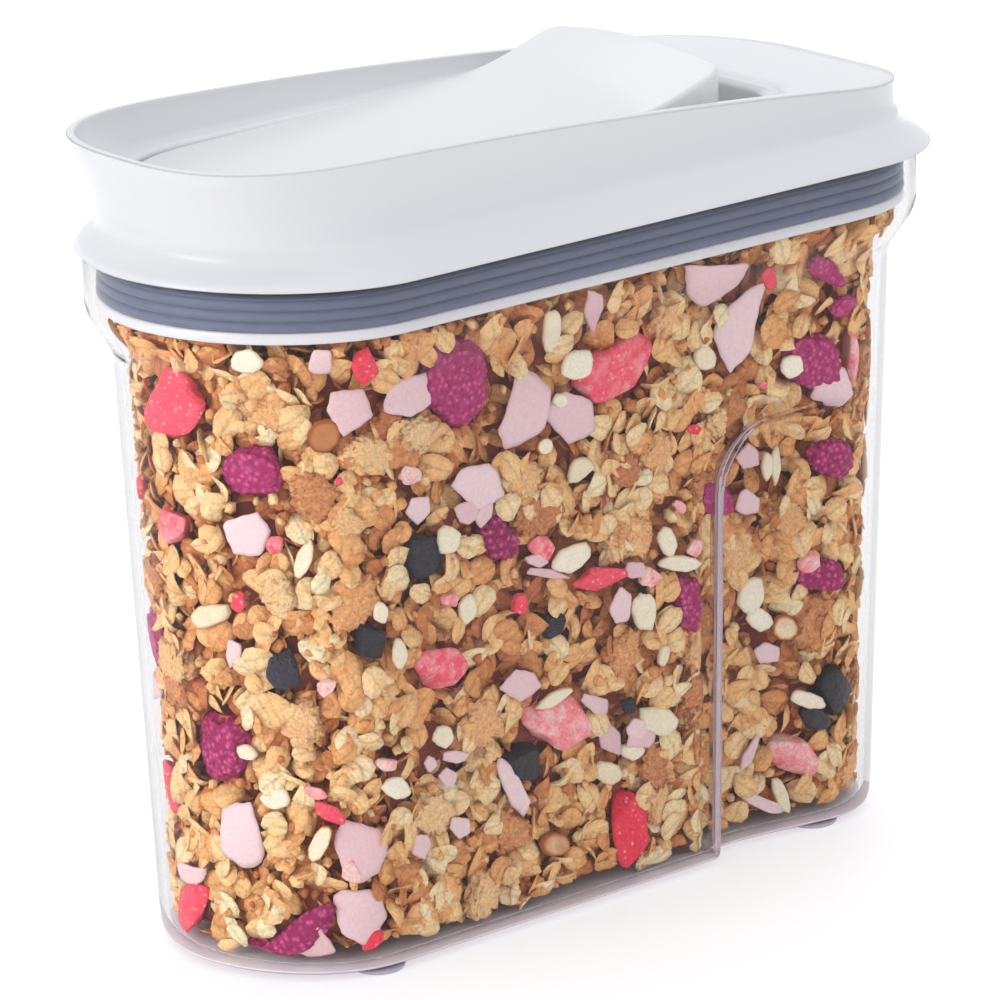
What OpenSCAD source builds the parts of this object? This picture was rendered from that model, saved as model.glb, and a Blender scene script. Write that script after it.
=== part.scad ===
// Countertop cereal keeper with a pour spout under a flip cap.
// +X runs from the spout to the back, +Z is up, and the origin is the middle of the footprint.

/* [Lid rim] */
// Length of the lid's rim, spout end to back
rim_l = 240; // [200:1:288]
// Width of the lid's rim
rim_w = 110; // [92:1:132]
// How far the rim's round nose reaches back
rim_nose = 50; // [40:1:60]
// Radius of the rim's two back corners
rim_corner = 38; // [30:1:42]
// Height of the rim's lower edge above the table
rim_z = 184; // [151:0.5:218]

/* [Container] */
// Wall of the clear container
wall = 2.5; // [2:0.1:3.2]
// Thickness of the container's floor
floor_t = 3; // [2.5:0.1:4]
// Gap between the rim's edge and the outside of the container's collar
collar_inset = 1.6; // [1.2:0.1:2]
// Height of the collar that holds the lid's plug
collar_h = 13.5; // [12:0.5:17]
// Height over which the body swells out to the collar
neck_h = 16; // [13:0.5:22]
// How far the body lies inside the collar, at its sides and its ends
neck_step = 6.8; // [5:0.1:9]
// How much the sides come in from the neck to the base
side_draft = 5.6; // [3:0.1:7]
// Outside radius of the edge round the base
base_round = 3.6; // [3.5:0.1:6]
// Height of the moulded feet
foot_h = 1.2; // [0.8:0.1:2]

/* [Hand grips] */
// Distance from the back of the rim to the grips' front edge
grip_from_back = 83; // [75:1:92]
// Distance from the lid's rim down to the grips' top edge
grip_drop = 63.5; // [52:0.5:76]
// Depth of the grips at their front edge
grip_depth = 6.2; // [3:0.1:7.5]

/* [Lid shell] */
// Height of the spout's lip above the rim's lower edge
lip_h = 29.9; // [27:0.1:34]
// Height of the deck's back edge above the rim's lower edge
deck_h = 14.7; // [13.5:0.1:16]
// How far the lip's sides lie inside the rim's
lip_side = 10; // [8.5:0.1:12]
// How far the lip's nose lies behind the rim's
lip_front = 2; // [1.5:0.1:4]
// How much the lip's half width draws in towards the back
lip_narrow = 2.4; // [0:0.1:4]
// Thickness of the spout's lip
lip_t = 1.7; // [1.4:0.1:2.2]
// Wall of the lid's shell
shell_t = 2.2; // [1.8:0.1:2.6]
// Height of the seat under the cap, above the rim's lower edge
seat_h = 13.5; // [12.5:0.1:15]

/* [Gasket and plug] */
// Height of the gasket
gasket_h = 11; // [9.5:0.1:12]
// Thickness of the gasket through its ribs
gasket_t = 2.9; // [2.2:0.1:3.5]
// Gap between the gasket's ribs and the collar
gasket_gap = 0.3; // [0.2:0.05:0.5]
// Number of ribs round the gasket
gasket_ribs = 4; // [3:1:5]
// Height of the white band under the gasket
band_h = 3; // [2:0.1:4]

/* [Flip cap] */
// Distance from the lip's side to the side of the cap
cap_side = 10.5; // [9.5:0.1:12.5]
// Distance from the back of the rim to the cap's back wall
cap_from_back = 70; // [62:1:78]
// Distance from the front of the rim to the cap's front end
cap_from_front = 18; // [16:0.5:24]
// Height of the cap's back edge above the rim's lower edge, at its sides
cap_back_h = 29.7; // [28:0.1:32]
// How much higher the middle of that edge is
cap_crown = 2.3; // [0.5:0.1:3]
// Gap round the cap in its pocket
cap_gap = 0.6; // [0.4:0.05:0.9]
// Wall of the cap
cap_t = 1.8; // [1.4:0.1:2.2]

/* [Hinge] */
// Diameter of the two hinge pins
pin_d = 3; // [2.4:0.1:3.6]
// Radial clearance of the pins in the cap's knuckles
pin_gap = 0.05; // [0.02:0.01:0.09]
// Distance of the hinge line ahead of the cap's back wall
hinge_in = 4.7; // [4.4:0.1:5.4]
// Height of the hinge line above the cap's seat
hinge_up = 1; // [0.6:0.1:1.4]

/* [Hidden] */
$fn = 48;

// Rims and rings have this many steps round the nose and round each back corner.
nose_n = 14;
corner_n = 7;
rim_n = 1.85;   // exponent of the rim's nose: 2 is an ellipse, more is squarer
lip_n = 2.8;    // exponent of the spout's nose

half_l = rim_l/2;
half_w = rim_w/2;
back_bulge = 2.5;                               // how far the flange swells past the rim's back
grip_x = half_l - grip_from_back;
grip_top = rim_z - grip_drop;
grip_round = 20;                                // radius of the grips' top front corner
lip_half = half_w - lip_side;

// Container
collar_half = half_w - collar_inset;
body_half = collar_half - neck_step;
inner_inset = collar_inset + wall;              // from the rim's edge to the collar's inside
neck_top = rim_z - collar_h;
neck_low = neck_top - neck_h;
rim_gap = 0.2;                                  // between the container's rim and the lid
body_top = rim_z - rim_gap;

// Lid shell
lip_z = rim_z + lip_h;
seat_z = rim_z + seat_h;
seat_t = 2;
flange_h = 7;                                   // height of the rounded flange
foot_line = seat_z + 6.5;                       // where the spout's wall meets the ledge
pocket_top = seat_z + 5.2;                      // where the ledge meets the cap's pocket
ledge_half = lip_half - 5;
cap_half = lip_half - cap_side;
pocket_half = cap_half + cap_gap;
cap_back = half_l - cap_from_back;
cap_front = -half_l + cap_from_front;
hinge_x = cap_back - hinge_in;
hinge_z = seat_z + hinge_up;
crest_z = rim_z + cap_back_h + cap_crown;
heel_r = sqrt(pow(cap_back - hinge_x, 2) + pow(crest_z - hinge_z, 2));
tail_r = sqrt(pow(cap_back - hinge_x, 2) + pow(hinge_up, 2)) + 0.6;
trough_r = heel_r + 2.2;
trough_floor = seat_z - 6;
trough_corner = 9;
knuckle_r = pin_d/2 + 1.3;
boss_r = pin_d/2 + 2.7;
pin_end = pocket_half + 4.5;                    // outer end of each pin, in the blind bore
pin_start = cap_half - 9.5;

// Pour opening
mouth_half = pocket_half - 6;
mouth_front = cap_front + 6;
mouth_back = hinge_x - 34;
mouth_corner = 10;
mouth_nose = 30;
seal_gap = 0.3;

// Plug
plug_half_inset = inner_inset + gasket_gap + gasket_t;   // from the rim's edge to the gasket's inside
gasket_top = rim_z - 0.2;
gasket_low = gasket_top - gasket_h;
band_low = gasket_low - band_h;
plug_t = 2.2;
web_t = 1.4;                                    // flange of the plug that closes over the collar
band_gap = 0.5;                                 // between the white band and the collar
plate_top = band_low + plug_t;
post_r = 2.5;
post_gap = 0.02;
post_side = mouth_half + 5.1;
posts = [for (s = [-1, 1], p = [[mouth_front + 34, post_side], [mouth_back - 3.3, post_side],
                                [half_l - 30, mouth_half]]) [p[0], s*p[1]]];

// ---------- outlines, rings and lofts ----------

// Half outline, from the middle of the nose along the near side to the back: a superellipse nose
// from xf, a straight side at half width w, and a round corner of radius r up to xr. Rings have
// stations along the side, and a plain outline doesn't.
function half_outline(xf, xr, w, a, n, r, plain = false) = concat(
    [for (i = [0:nose_n]) let (t = 90*i/nose_n)
        [xf + a*(1 - pow(cos(t), 2/n)), -w*pow(sin(t), 2/n)]],
    [for (x = plain ? [xr - r] : side_stations(xf + a, xr - r)) [x, -w]],
    [for (i = [1:corner_n]) let (t = 90*i/corner_n)
        [xr - r + r*sin(t), -w + r - r*cos(t)]]);

// Stations along a straight side, close together at the front edge of the hand grips
function side_stations(x0, x1) = let (g = grip_x)
    [(x0 + g)/2, g - 3, g - 1.2, g + 0.6, g + 2.4, g + 2.4 + (x1 - g)/4, g + 2.4 + (x1 - g)/2, x1];

// Mirrors a half outline to the far side, as a closed counterclockwise outline
function closed(h) = concat(h, [for (i = [len(h) - 1:-1:1]) [h[i][0], -h[i][1]]]);

// The same for a half outline that doesn't start on the middle line
function paired(h) = concat(h, [for (i = [len(h) - 1:-1:0]) [h[i][0], -h[i][1]]]);

function flat_ring(h, z) = [for (p = closed(h)) [p[0], p[1], z]];

// The rim's own outline, brought in by f at the nose, s at the sides and b at the back
function rim_half(f, s, b, a = rim_nose, n = rim_n, r = rim_corner) =
    half_outline(-half_l + f, half_l - b, half_w - s, a, n, r);

// The same inset all round, which shrinks the nose and corners as an offset would
function rim_inset(e) = rim_half(e, e, e, rim_nose - e*0.9, rim_n, rim_corner - e*0.8);

// Triangles between rings of m points, and strips that close a mirrored outline
function walls(k, m) = [for (i = [0:k - 2], j = [0:m - 1]) let (a = i*m + j, b = i*m + (j + 1)%m)
    each [[a, a + m, b + m], [a, b + m, b]]];
function strips(o, m, up) = let (e = 1 - m%2) [for (j = [0:floor((m - 1)/2) - 1])
    let (p = o + j, q = o + j + 1, r = o + (2*m - j - 1 - e)%m, s = o + (2*m - j - e)%m)
    each (p == s ? [up ? [p, r, q] : [p, q, r]]
                 : up ? [[p, s, r], [p, r, q]] : [[p, q, r], [p, r, s]])];

// Solid through a stack of closed rings, from the lowest to the highest
module loft(rings) {
    m = len(rings[0]);
    k = len(rings);
    polyhedron(points = [for (r = rings) each r],
        faces = concat(walls(k, m), strips(0, m, false), strips((k - 1)*m, m, true)), convexity = 8);
}

// Ring-shaped solid: the rings go up its outside and down its inside
module hoop(rings) {
    m = len(rings[0]);
    k = len(rings);
    polyhedron(points = [for (r = rings) each r],
        faces = [for (i = [0:k - 1], j = [0:m - 1])
            let (a = i*m + j, b = i*m + (j + 1)%m, c = ((i + 1)%k)*m + j, d = ((i + 1)%k)*m + (j + 1)%m)
            each [[a, c, d], [a, d, b]]], convexity = 8);
}

function smooth(u) = let (v = min(max(u, 0), 1)) v*v*(3 - 2*v);
function mix(a, b, u) = a + (b - a)*u;

// Puts the origin in the middle of the whole length, which takes in the flange's back bulge
module centred() translate([-back_bulge/2, 0, 0]) children();

// ---------- container ----------

// Inset of the body from the rim's edge at height z: swells to the collar over the neck,
// then draws in straight towards the base
function body_inset(z) = let (u = (neck_low - z)/neck_low)
    collar_inset + neck_step*(1 - smooth((z - neck_low)/neck_h))
    + (z < neck_low ? side_draft*u : 0);

// How far the hand grips press the side in at a point: deepest at their front edge,
// fading out to the back corner and closing with a round top
function grip_press(x, z) = let (
        back = half_l - rim_corner + 4,
        dx = max(grip_x + grip_round - x, 0), dz = max(z - grip_top + grip_round, 0),
        edge = sqrt(dx*dx + dz*dz))
    grip_depth*smooth((grip_round - edge)/3.2)*(x < grip_x ? 0 : 1 - smooth((x - grip_x - 8)/(back - grip_x)));

function body_ring(z, inset, e, grip) = let (
        k = body_inset(z) + inset,
        h = rim_half(k, k, k, rim_nose - k, rim_n, rim_corner - k*0.75))
    [for (p = closed(h)) let (g = grip ? grip_press(p[0], z) : 0, s = sign(p[1]))
        [p[0], p[1] - s*min(g, abs(p[1])), e]];

// Heights of the rings between the base and the neck, close together over the grips' round tops
body_levels = concat([for (u = [0.2, 0.5, 0.8]) u*(grip_top - grip_round)],
    [for (d = [26, 20, 15, 11, 7, 3.5, 0, -3]) grip_top - d]);

module container_body() color([0.86, 0.87, 0.9, 0.35]) centred() {
    outside = concat(
        [for (i = [0:3]) let (t = 90*i/4) body_ring(base_round*(1 - cos(t)), base_round*(1 - sin(t)),
            foot_h + base_round*(1 - cos(t)), true)],
        [for (z = concat([base_round], body_levels)) body_ring(z, 0, foot_h + z, true)],
        [for (i = [0:6]) let (z = mix(neck_low, neck_top, i/6)) body_ring(z, 0, z, false)],
        [body_ring(neck_top, 0, body_top - 0.8, false), body_ring(neck_top, 0.6, body_top, false)]);
    inside = concat(
        [body_ring(neck_top, wall - 0.6, body_top, false), body_ring(neck_top, wall, body_top - 0.8, false)],
        [for (i = [6:-1:0]) let (z = mix(neck_low, neck_top, i/6)) body_ring(z, wall, z - 0.6, false)],
        [for (i = [len(body_levels) - 1:-1:0]) body_ring(body_levels[i], wall, foot_h + body_levels[i], true)],
        [for (i = [3:-1:0]) let (t = 90*i/4) body_ring(floor_t + base_round*(1 - cos(t)),
            wall + base_round*(1 - sin(t)), foot_h + floor_t + base_round*(1 - cos(t)), true)]);
    loft(concat(outside, inside));
    feet();
}

foot_r = 7;
foot_front = -half_l + 48;
foot_back = half_l - 42;
foot_side = body_half - side_draft - base_round - foot_r + 3;

// Four low pads moulded under the corners of the base
module feet() for (x = [foot_front, foot_back], y = [-foot_side, foot_side])
    translate([x, y, 0]) cylinder(r = foot_r, h = foot_h + 1);

// ---------- lid shell ----------

// Height of the lip and deck at x: almost level at the spout, falling faster towards the back
function top_z(x) = let (u = (x + half_l)/rim_l) lip_z - (lip_h - deck_h)*(0.1*u + 0.9*u*u);

// Height of the ceiling under the ledge and the deck
function under_z(x) = min(foot_line - 3.5, top_z(x) - shell_t);

// Share of its width that the lip keeps at x
function lip_share(x) = 1 - lip_narrow/lip_half*max(x + half_l - rim_nose, 0)/(rim_l - rim_nose);

// The skirt's profile. Flange rows hold the height above the rim's edge, then the inset at the
// nose, sides and back. Wall rows start with a share of the height from the flange to the lip or
// deck, and end with how far the outline has changed from the rim's to the lip's.
flange_rows = [[0, 0, 0, -back_bulge], [1.5, 0.8, 0.5, -0.5*back_bulge],
               [3.2, 3, 2, 1.6], [5, 4.8, 4, 3.8], [7, 6.2, 5.8, 4.8]];
wall_rows = [[0.1, 6.4, 6.8, 4.2, 0.25], [0.24, 7, 9.4, 3.6, 0.55], [0.42, 6.5, 10.8, 2.6, 0.75],
             [0.65, 4.9, 10.9, 2.5, 0.9], [0.85, lip_front + 0.9, lip_side + 0.5, 2.8, 1],
             [1, lip_front, lip_side, 3, 1]];

// Outline for one row, brought in by t: nose and corners turn from the rim's into the lip's
function skirt_half(row, t, turn) = rim_half(row[1] + t, row[2] + t, row[3] + t,
    rim_nose - (row[1] + t)*0.2*(1 - turn) - t*turn, mix(rim_n, lip_n, turn),
    rim_corner - mix((row[2] + t)*0.5, 7 + t, turn));
function flange_ring(row, t) = flat_ring(skirt_half(row, t, 0), rim_z + row[0]);
function wall_outline(row, t) = [for (p = closed(skirt_half(row, t, row[4])))
    [p[0], p[1]*mix(1, lip_share(p[0]), row[4])]];
function wall_ring(row, t, drop) = [for (p = wall_outline(row, t))
    [p[0], p[1], mix(rim_z + flange_h, top_z(p[0]) - drop, row[0])]];

// Outline of the cap's pocket widened by e, with its nose f further forward
function pocket_outline(e, f, r = trough_corner) = closed(half_outline(cap_front - cap_gap - f,
    hinge_x + trough_r + e*0.3, pocket_half + e, 36 + f, lip_n, r));
function pocket_ring(e, f, z) = [for (p = pocket_outline(e, f)) [p[0], p[1], z]];

// Inner edge of the lip: parallel to the lip round the spout, drawn in to the trough at the back
function lip_inner() = let (full = lip_half - lip_t)
    [for (p = pocket_outline(full - pocket_half, cap_from_front - cap_gap - lip_front - lip_t, trough_corner + 2))
        let (q = mix(1, (ledge_half + 0.5)/full, smooth((p[0] + half_l/3)/half_l*1.2)))
        [p[0], p[1]*q, top_z(p[0])]];

// Rings that cross the deck from the lip's outer edge to its inner edge
function deck_ring(outer, inner, t) = [for (i = [0:len(outer) - 1])
    let (x = mix(outer[i][0], inner[i][0], t)) [x, mix(outer[i][1], inner[i][1], t), top_z(x)]];

module shell_moulding() {
    outer = wall_ring(wall_rows[5], 0, 0);
    inner = lip_inner();
    loft(concat(
        [pocket_ring(shell_t, shell_t, seat_z - seat_t)],
        [[for (p = pocket_outline(shell_t, shell_t)) [p[0], p[1], under_z(p[0])]]],
        [[for (p = wall_outline(wall_rows[2], shell_t)) [p[0], p[1], under_z(p[0])]]],
        [for (i = [1, 0]) wall_ring(wall_rows[i], shell_t, 1)],
        [for (i = [4:-1:0]) flange_ring(flange_rows[i], shell_t)],
        [for (row = flange_rows) flange_ring(row, 0)],
        [for (row = wall_rows) wall_ring(row, 0, 0)],
        [for (t = [0.33, 0.67, 1]) deck_ring(outer, inner, t)],
        [pocket_ring(ledge_half - pocket_half, 4.4, foot_line), pocket_ring(0, 0, pocket_top),
         pocket_ring(0, 0, seat_z)]));
}

// Round clearance of radius r about the hinge line, over the pocket's width
module hinge_sweep(r) translate([hinge_x, pocket_half, hinge_z]) rotate([90, 0, 0])
    cylinder(r = r, h = 2*pocket_half);

// Space behind and under the hinge for the cap's heel and tail
module trough_cut() {
    intersection() {
        hinge_sweep(trough_r);
        translate([hinge_x - 1.5, -pocket_half, trough_floor]) cube([trough_r + 2, 2*pocket_half, lip_h]);
    }
    hinge_sweep(tail_r);
}

module trough_block() translate([hinge_x - tail_r - 2, -pocket_half - shell_t, trough_floor - seat_t])
    cube([tail_r + 2 + trough_r + shell_t, 2*(pocket_half + shell_t), seat_z - seat_t/2 - trough_floor + seat_t]);

// Upright prism on the pour opening's outline, widened by e
module mouth_prism(e, low, high) translate([0, 0, low]) linear_extrude(high - low)
    polygon(closed(half_outline(mouth_front - e, mouth_back + e, mouth_half + e, mouth_nose + e, lip_n,
        mouth_corner + e, true)));

module lid_shell() color([0.95, 0.95, 0.97]) centred() difference() {
    union() {
        shell_moulding();
        trough_block();
        for (s = [-1, 1]) translate([hinge_x, s*(pin_end + 1.4), hinge_z])
            rotate([s*90, 0, 0]) cylinder(r = boss_r, h = pin_end - pocket_half);
        for (p = posts) translate([p[0], p[1], plate_top])
            cylinder(r = post_r, h = under_z(p[0]) - (p[0] > hinge_x ? 0 : 4) - plate_top);
    }
    trough_cut();
    mouth_prism(0, seat_z - seat_t - 1, seat_z + 1);
    for (s = [-1, 1]) translate([hinge_x, s*pin_end, hinge_z])
        rotate([s*90, 0, 0]) cylinder(r = pin_d/2, h = 6);
}

// ---------- plug and gasket ----------

function inset_ring(e, z) = flat_ring(rim_inset(e), z);

// Tray under the shell: a white band below the gasket, a groove wall that carries the gasket, a
// web that closes over the collar, and a duct from the spout's opening
module lid_plug() color([0.93, 0.93, 0.96]) centred() difference() {
    union() {
        band = inner_inset + band_gap;
        web = shell_t + 1.4;
        loft([inset_ring(band + 0.6, band_low), inset_ring(band, band_low + 0.6), inset_ring(band, gasket_low),
              inset_ring(plug_half_inset, gasket_low), inset_ring(plug_half_inset, rim_z),
              inset_ring(web, rim_z), inset_ring(web, rim_z + web_t),
              inset_ring(plug_half_inset + plug_t, rim_z + web_t), inset_ring(plug_half_inset + plug_t, plate_top)]);
        mouth_prism(plug_t - 0.4, band_low + 0.5, seat_z - seat_t);
        for (p = posts) translate([p[0], p[1], band_low + 0.5]) cylinder(r = post_r + 1.6, h = plug_t + 4);
    }
    mouth_prism(0, band_low - 1, seat_z);
    for (p = posts) translate([p[0], p[1], plate_top]) cylinder(r = post_r + post_gap, h = plug_t + 4);
}

// Soft ring round the plug, with level ribs that wipe the collar
module lid_gasket() color([0.43, 0.46, 0.53]) centred() {
    crest = inner_inset + gasket_gap;
    pitch = gasket_h/gasket_ribs;
    hoop(concat(
        [for (i = [0:gasket_ribs - 1]) let (z = gasket_low + i*pitch)
            each [inset_ring(crest + 0.9, z), inset_ring(crest, z + pitch*0.3),
                  inset_ring(crest, z + pitch*0.7), inset_ring(crest + 0.9, z + pitch)]],
        [inset_ring(plug_half_inset, gasket_top), inset_ring(plug_half_inset, gasket_low)]));
}

// ---------- flip cap ----------

cap_low = seat_z + 0.3;
cap_seam = cap_low + 1.8;
cap_nose = 38;

// Height of the cap's top edge: a shallow rise from the front, then a kick up to the back edge
function cap_edge(x) = let (u = (x - cap_front)/(cap_back - cap_front), rise = cap_back_h - seat_h + seat_z - cap_low)
    cap_low + mix(4.3, 9.3, 0.25*u + 0.75*u*u) + (rise - 9.3)*pow(smooth((u - 0.76)/0.3)/smooth(0.8), 1.3);
function cap_rise(x) = mix(0.1, cap_crown, pow(max((x - cap_front)/(cap_back - cap_front), 0), 2));

// Stations along the cap: close together round its nose and at the kick
cap_stations = concat(
    [for (t = [4, 9, 15, 23, 32, 43, 56, 70]) cap_front + cap_nose*(1 - pow(cos(t), 2/lip_n))],
    [for (u = [0.27, 0.38, 0.49, 0.6, 0.7, 0.77, 0.82, 0.86, 0.89, 0.92, 0.95, 0.98, 1])
        mix(cap_front, cap_back, u)]);
function cap_wide(x) = let (u = min(max((x - cap_front)/cap_nose, 0), 1))
    cap_half*pow(1 - pow(1 - u, lip_n), 1/lip_n);

// Section across the cap at x, brought in by t, with round top edges of radius r and a crown
function cap_section(x, t, r, low) = let (w = cap_wide(x) - t, top = cap_edge(x) - t, c = cap_rise(x))
    [for (p = paired(concat([[low, -w], [top - r, -w]],
        [for (a = [30, 60, 90]) [top - r + r*sin(a), -w + r - r*cos(a)]],
        [for (v = [0.7, 0.4, 0.15]) [top + c*(1 - v*v), -v*w]])))
        [x, -p[1], p[0]]];

// Space inside the cap, from where it is thick enough for two walls to its back wall
module cap_hollow() {
    along = [for (x = cap_stations) if (x > cap_front + 40) min(x, cap_back - cap_t)];
    rotate([90, 0, 0]) linear_extrude(2*(cap_half - cap_t), center = true)
        polygon(concat([for (x = along) [x, cap_edge(x) - cap_t]],
            [[cap_back - cap_t, cap_seam - 1], [along[0], cap_seam - 1]]));
}

module cap_top() color([0.96, 0.96, 0.98]) centred() difference() {
    loft([for (x = cap_stations) cap_section(x, 0, min(1.2, (cap_edge(x) - cap_seam)/2), cap_seam)]);
    cap_hollow();
    translate([hinge_x - knuckle_r - 0.1, -half_w, cap_seam - 1])
        cube([2*knuckle_r + 0.2, rim_w, hinge_z + knuckle_r + 1.1 - cap_seam]);
}

// Upright prism on the cap's outline, from its front end to its back wall
module cap_prism(low, high) translate([0, 0, low]) linear_extrude(high - low)
    polygon(closed(half_outline(cap_front, cap_back, cap_half, cap_nose, lip_n, 0.8, true)));

// Base plate with two hinge knuckles and the rim that carries the seal
module cap_base() color([0.93, 0.93, 0.96]) centred() difference() {
    union() {
        cap_prism(cap_low, cap_seam);
        mouth_prism(-seal_gap - seal_t, seal_low - 0.8, cap_low + 0.5);
        for (s = [-1, 1]) translate([hinge_x, s*(pin_start - 1), hinge_z])
            rotate([-s*90, 0, 0]) cylinder(r = knuckle_r, h = cap_half - pin_start + 0.9);
    }
    mouth_prism(-seal_gap - seal_t - 1.6, seal_low - 2, cap_low);
    for (s = [-1, 1]) translate([hinge_x, s*(pin_start - 0.2), hinge_z])
        rotate([-s*90, 0, 0]) cylinder(r = pin_d/2 + pin_gap, h = cap_half);
}

seal_t = 1.4;
seal_low = cap_low - 4;

// Soft ring round the carrier rim, which closes the pour opening
module cap_seal() color([0.80, 0.81, 0.85]) centred() difference() {
    mouth_prism(-seal_gap, seal_low, cap_low);
    mouth_prism(-seal_gap - seal_t, seal_low - 1, cap_low + 1);
}

module hinge_pin(s) color([0.75, 0.76, 0.78]) centred() translate([hinge_x, s*pin_start, hinge_z])
    rotate([-s*90, 0, 0]) cylinder(r = pin_d/2, h = pin_end - pin_start);
module hinge_pin_near() hinge_pin(-1);
module hinge_pin_far() hinge_pin(1);

container_body();
lid_shell();
lid_plug();
lid_gasket();
cap_top();
cap_base();
cap_seal();
hinge_pin_near();
hinge_pin_far();
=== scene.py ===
"""Looks of a clear cereal keeper with a flip spout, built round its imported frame.

Lengths in this script are millimetres until a mesh is made, and x = 0 is then the middle of the
lid's rim. +X runs from the spout to the back, and the near long side faces -Y.
"""

import bpy
import numpy as np
from mathutils import Matrix, Vector


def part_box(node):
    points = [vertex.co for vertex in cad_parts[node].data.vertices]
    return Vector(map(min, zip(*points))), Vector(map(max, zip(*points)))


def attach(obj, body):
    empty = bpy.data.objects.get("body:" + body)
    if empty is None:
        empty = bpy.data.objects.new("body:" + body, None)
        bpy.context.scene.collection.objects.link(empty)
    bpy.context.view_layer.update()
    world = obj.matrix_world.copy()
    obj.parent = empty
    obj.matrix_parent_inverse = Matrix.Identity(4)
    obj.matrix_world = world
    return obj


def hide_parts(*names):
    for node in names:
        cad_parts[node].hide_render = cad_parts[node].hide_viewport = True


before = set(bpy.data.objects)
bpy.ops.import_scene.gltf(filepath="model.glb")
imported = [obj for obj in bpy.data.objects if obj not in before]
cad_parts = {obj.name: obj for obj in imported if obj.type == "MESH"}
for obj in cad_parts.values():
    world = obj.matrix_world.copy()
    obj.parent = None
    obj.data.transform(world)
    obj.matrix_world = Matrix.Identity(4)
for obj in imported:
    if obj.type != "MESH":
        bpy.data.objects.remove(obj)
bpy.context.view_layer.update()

# ---------- sizes, in millimetres ----------

MM = 0.001
shell_low, shell_high = (np.array(v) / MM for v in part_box("lid_shell"))
RIM_W = shell_high[1] - shell_low[1]
BACK_BULGE = 2.5                       # how far the flange swells past the rim's back
RIM_L = shell_high[0] - shell_low[0] - BACK_BULGE
SHIFT_X = -BACK_BULGE / 2              # from the rim's middle to the frame's origin
HALF_L, HALF_W = RIM_L / 2, RIM_W / 2
RIM_Z = 184.0                          # lower edge of the lid
RIM_NOSE, RIM_CORNER = 50.0, 38.0
RIM_POWER, LIP_POWER = 1.85, 2.8       # superellipse exponents of the two noses

WALL, FLOOR_T, FOOT_H, FOOT_R = 2.5, 2.0, 1.2, 7.0
COLLAR_INSET, NECK_H, NECK_STEP = 1.6, 16.0, 6.8
NECK_TOP = RIM_Z - 13.5
NECK_LOW = NECK_TOP - NECK_H
NECK_LAG = 0.6                         # how much lower the neck's swell runs on the inside
BODY_TOP = RIM_Z - 0.2
SIDE_DRAFT, BASE_ROUND = 5.6, 3.6
GRIP_X, GRIP_TOP, GRIP_DEPTH, GRIP_ROUND = HALF_L - 83, RIM_Z - 63.5, 6.2, 20.0
GRIP_STEP = 3.2                        # width of the step at the grip's edge

LIP_H, DECK_H, LIP_HALF, LIP_NARROW, LIP_T = 29.9, 14.7, 45.0, 2.4, 1.7
LIP_FRONT = 2.0
LIP_Z = RIM_Z + LIP_H
FLANGE_H, SHELL_T = 7.0, 2.2
SEAT_H, SEAT_T = 13.5, 2.0
SEAT_Z = RIM_Z + SEAT_H
LEDGE_HALF, FOOT_LINE, POCKET_TOP = 40.0, SEAT_Z + 6.5, SEAT_Z + 5.2

CAP_HALF, CAP_GAP = 34.5, 0.6
CAP_BACK, CAP_FRONT = HALF_L - 70, -HALF_L + 18
POCKET_HALF = CAP_HALF + CAP_GAP
HEEL_BACK, HEEL_RISE = 4.7, 17.5       # from the hinge line to the cap's back edge
HINGE_X, HINGE_Z = CAP_BACK - HEEL_BACK, SEAT_Z + 1
TROUGH_R, TAIL_R = np.hypot(HEEL_BACK, HEEL_RISE) + 2.2, 5.4
TROUGH_FLOOR = SEAT_Z - 6

GASKET_TOP, GASKET_H, BAND_H = RIM_Z - 0.2, 11.0, 3.0
GASKET_LOW = GASKET_TOP - GASKET_H
BAND_LOW = GASKET_LOW - BAND_H
GROOVE_INSET = COLLAR_INSET + WALL + 3.2       # the wall that carries the gasket


# ---------- outlines and surfaces ----------

def smooth(u):
    """The cubic 3u^2 - 2u^3, held at 0 and 1 outside them."""
    v = np.clip(u, 0, 1)
    return v * v * (3 - 2 * v)


def outline(front, back, half, nose, power, corner, steps=(56, 64, 16)):
    """Closed outline seen from above, counterclockwise from the tip of the nose.

    The nose is a superellipse of the given power, the sides are straight, and each back corner is
    a quarter circle. steps are the counts along the nose, a side and a corner.
    """
    t = np.linspace(0, np.pi / 2, steps[0] + 1)
    nose_x = front + nose * (1 - np.cos(t).clip(0) ** (2 / power))
    nose_y = -half * np.sin(t) ** (2 / power)
    # stations crowd towards the grip's front edge, where the side steps in
    side_x = stations(front + nose, back - corner, steps[1])
    c = np.linspace(0, np.pi / 2, steps[2] + 1)[1:]
    x = np.concatenate([nose_x, side_x, back - corner + corner * np.sin(c)])
    y = np.concatenate([nose_y, np.full(len(side_x), -half), -half + corner - corner * np.cos(c)])
    y_back = np.linspace(y[-1], 0, steps[2] // 2 + 1)[1:]
    x, y = np.concatenate([x, np.full(len(y_back), back)]), np.concatenate([y, y_back])
    return np.column_stack([np.concatenate([x, x[-2:0:-1]]), np.concatenate([y, -y[-2:0:-1]])])


def stations(x0, x1, count):
    """Places along a side from x0 to x1: even steps, drawn towards GRIP_X by a tanh bump."""
    u = np.linspace(0, 1, count + 1)[1:]
    x = x0 + (x1 - x0) * u
    if x0 < GRIP_X < x1:
        k = (GRIP_X + 2 - x0) / (x1 - x0)
        w = u - 0.82 * 0.14 * np.tanh((u - k) / 0.14) * np.exp(-((u - k) / 0.3) ** 2)
        w = (w - w[0]) / (w[-1] - w[0]) * (u[-1] - u[0]) + u[0]
        x = x0 + (x1 - x0) * w
    return x


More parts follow.
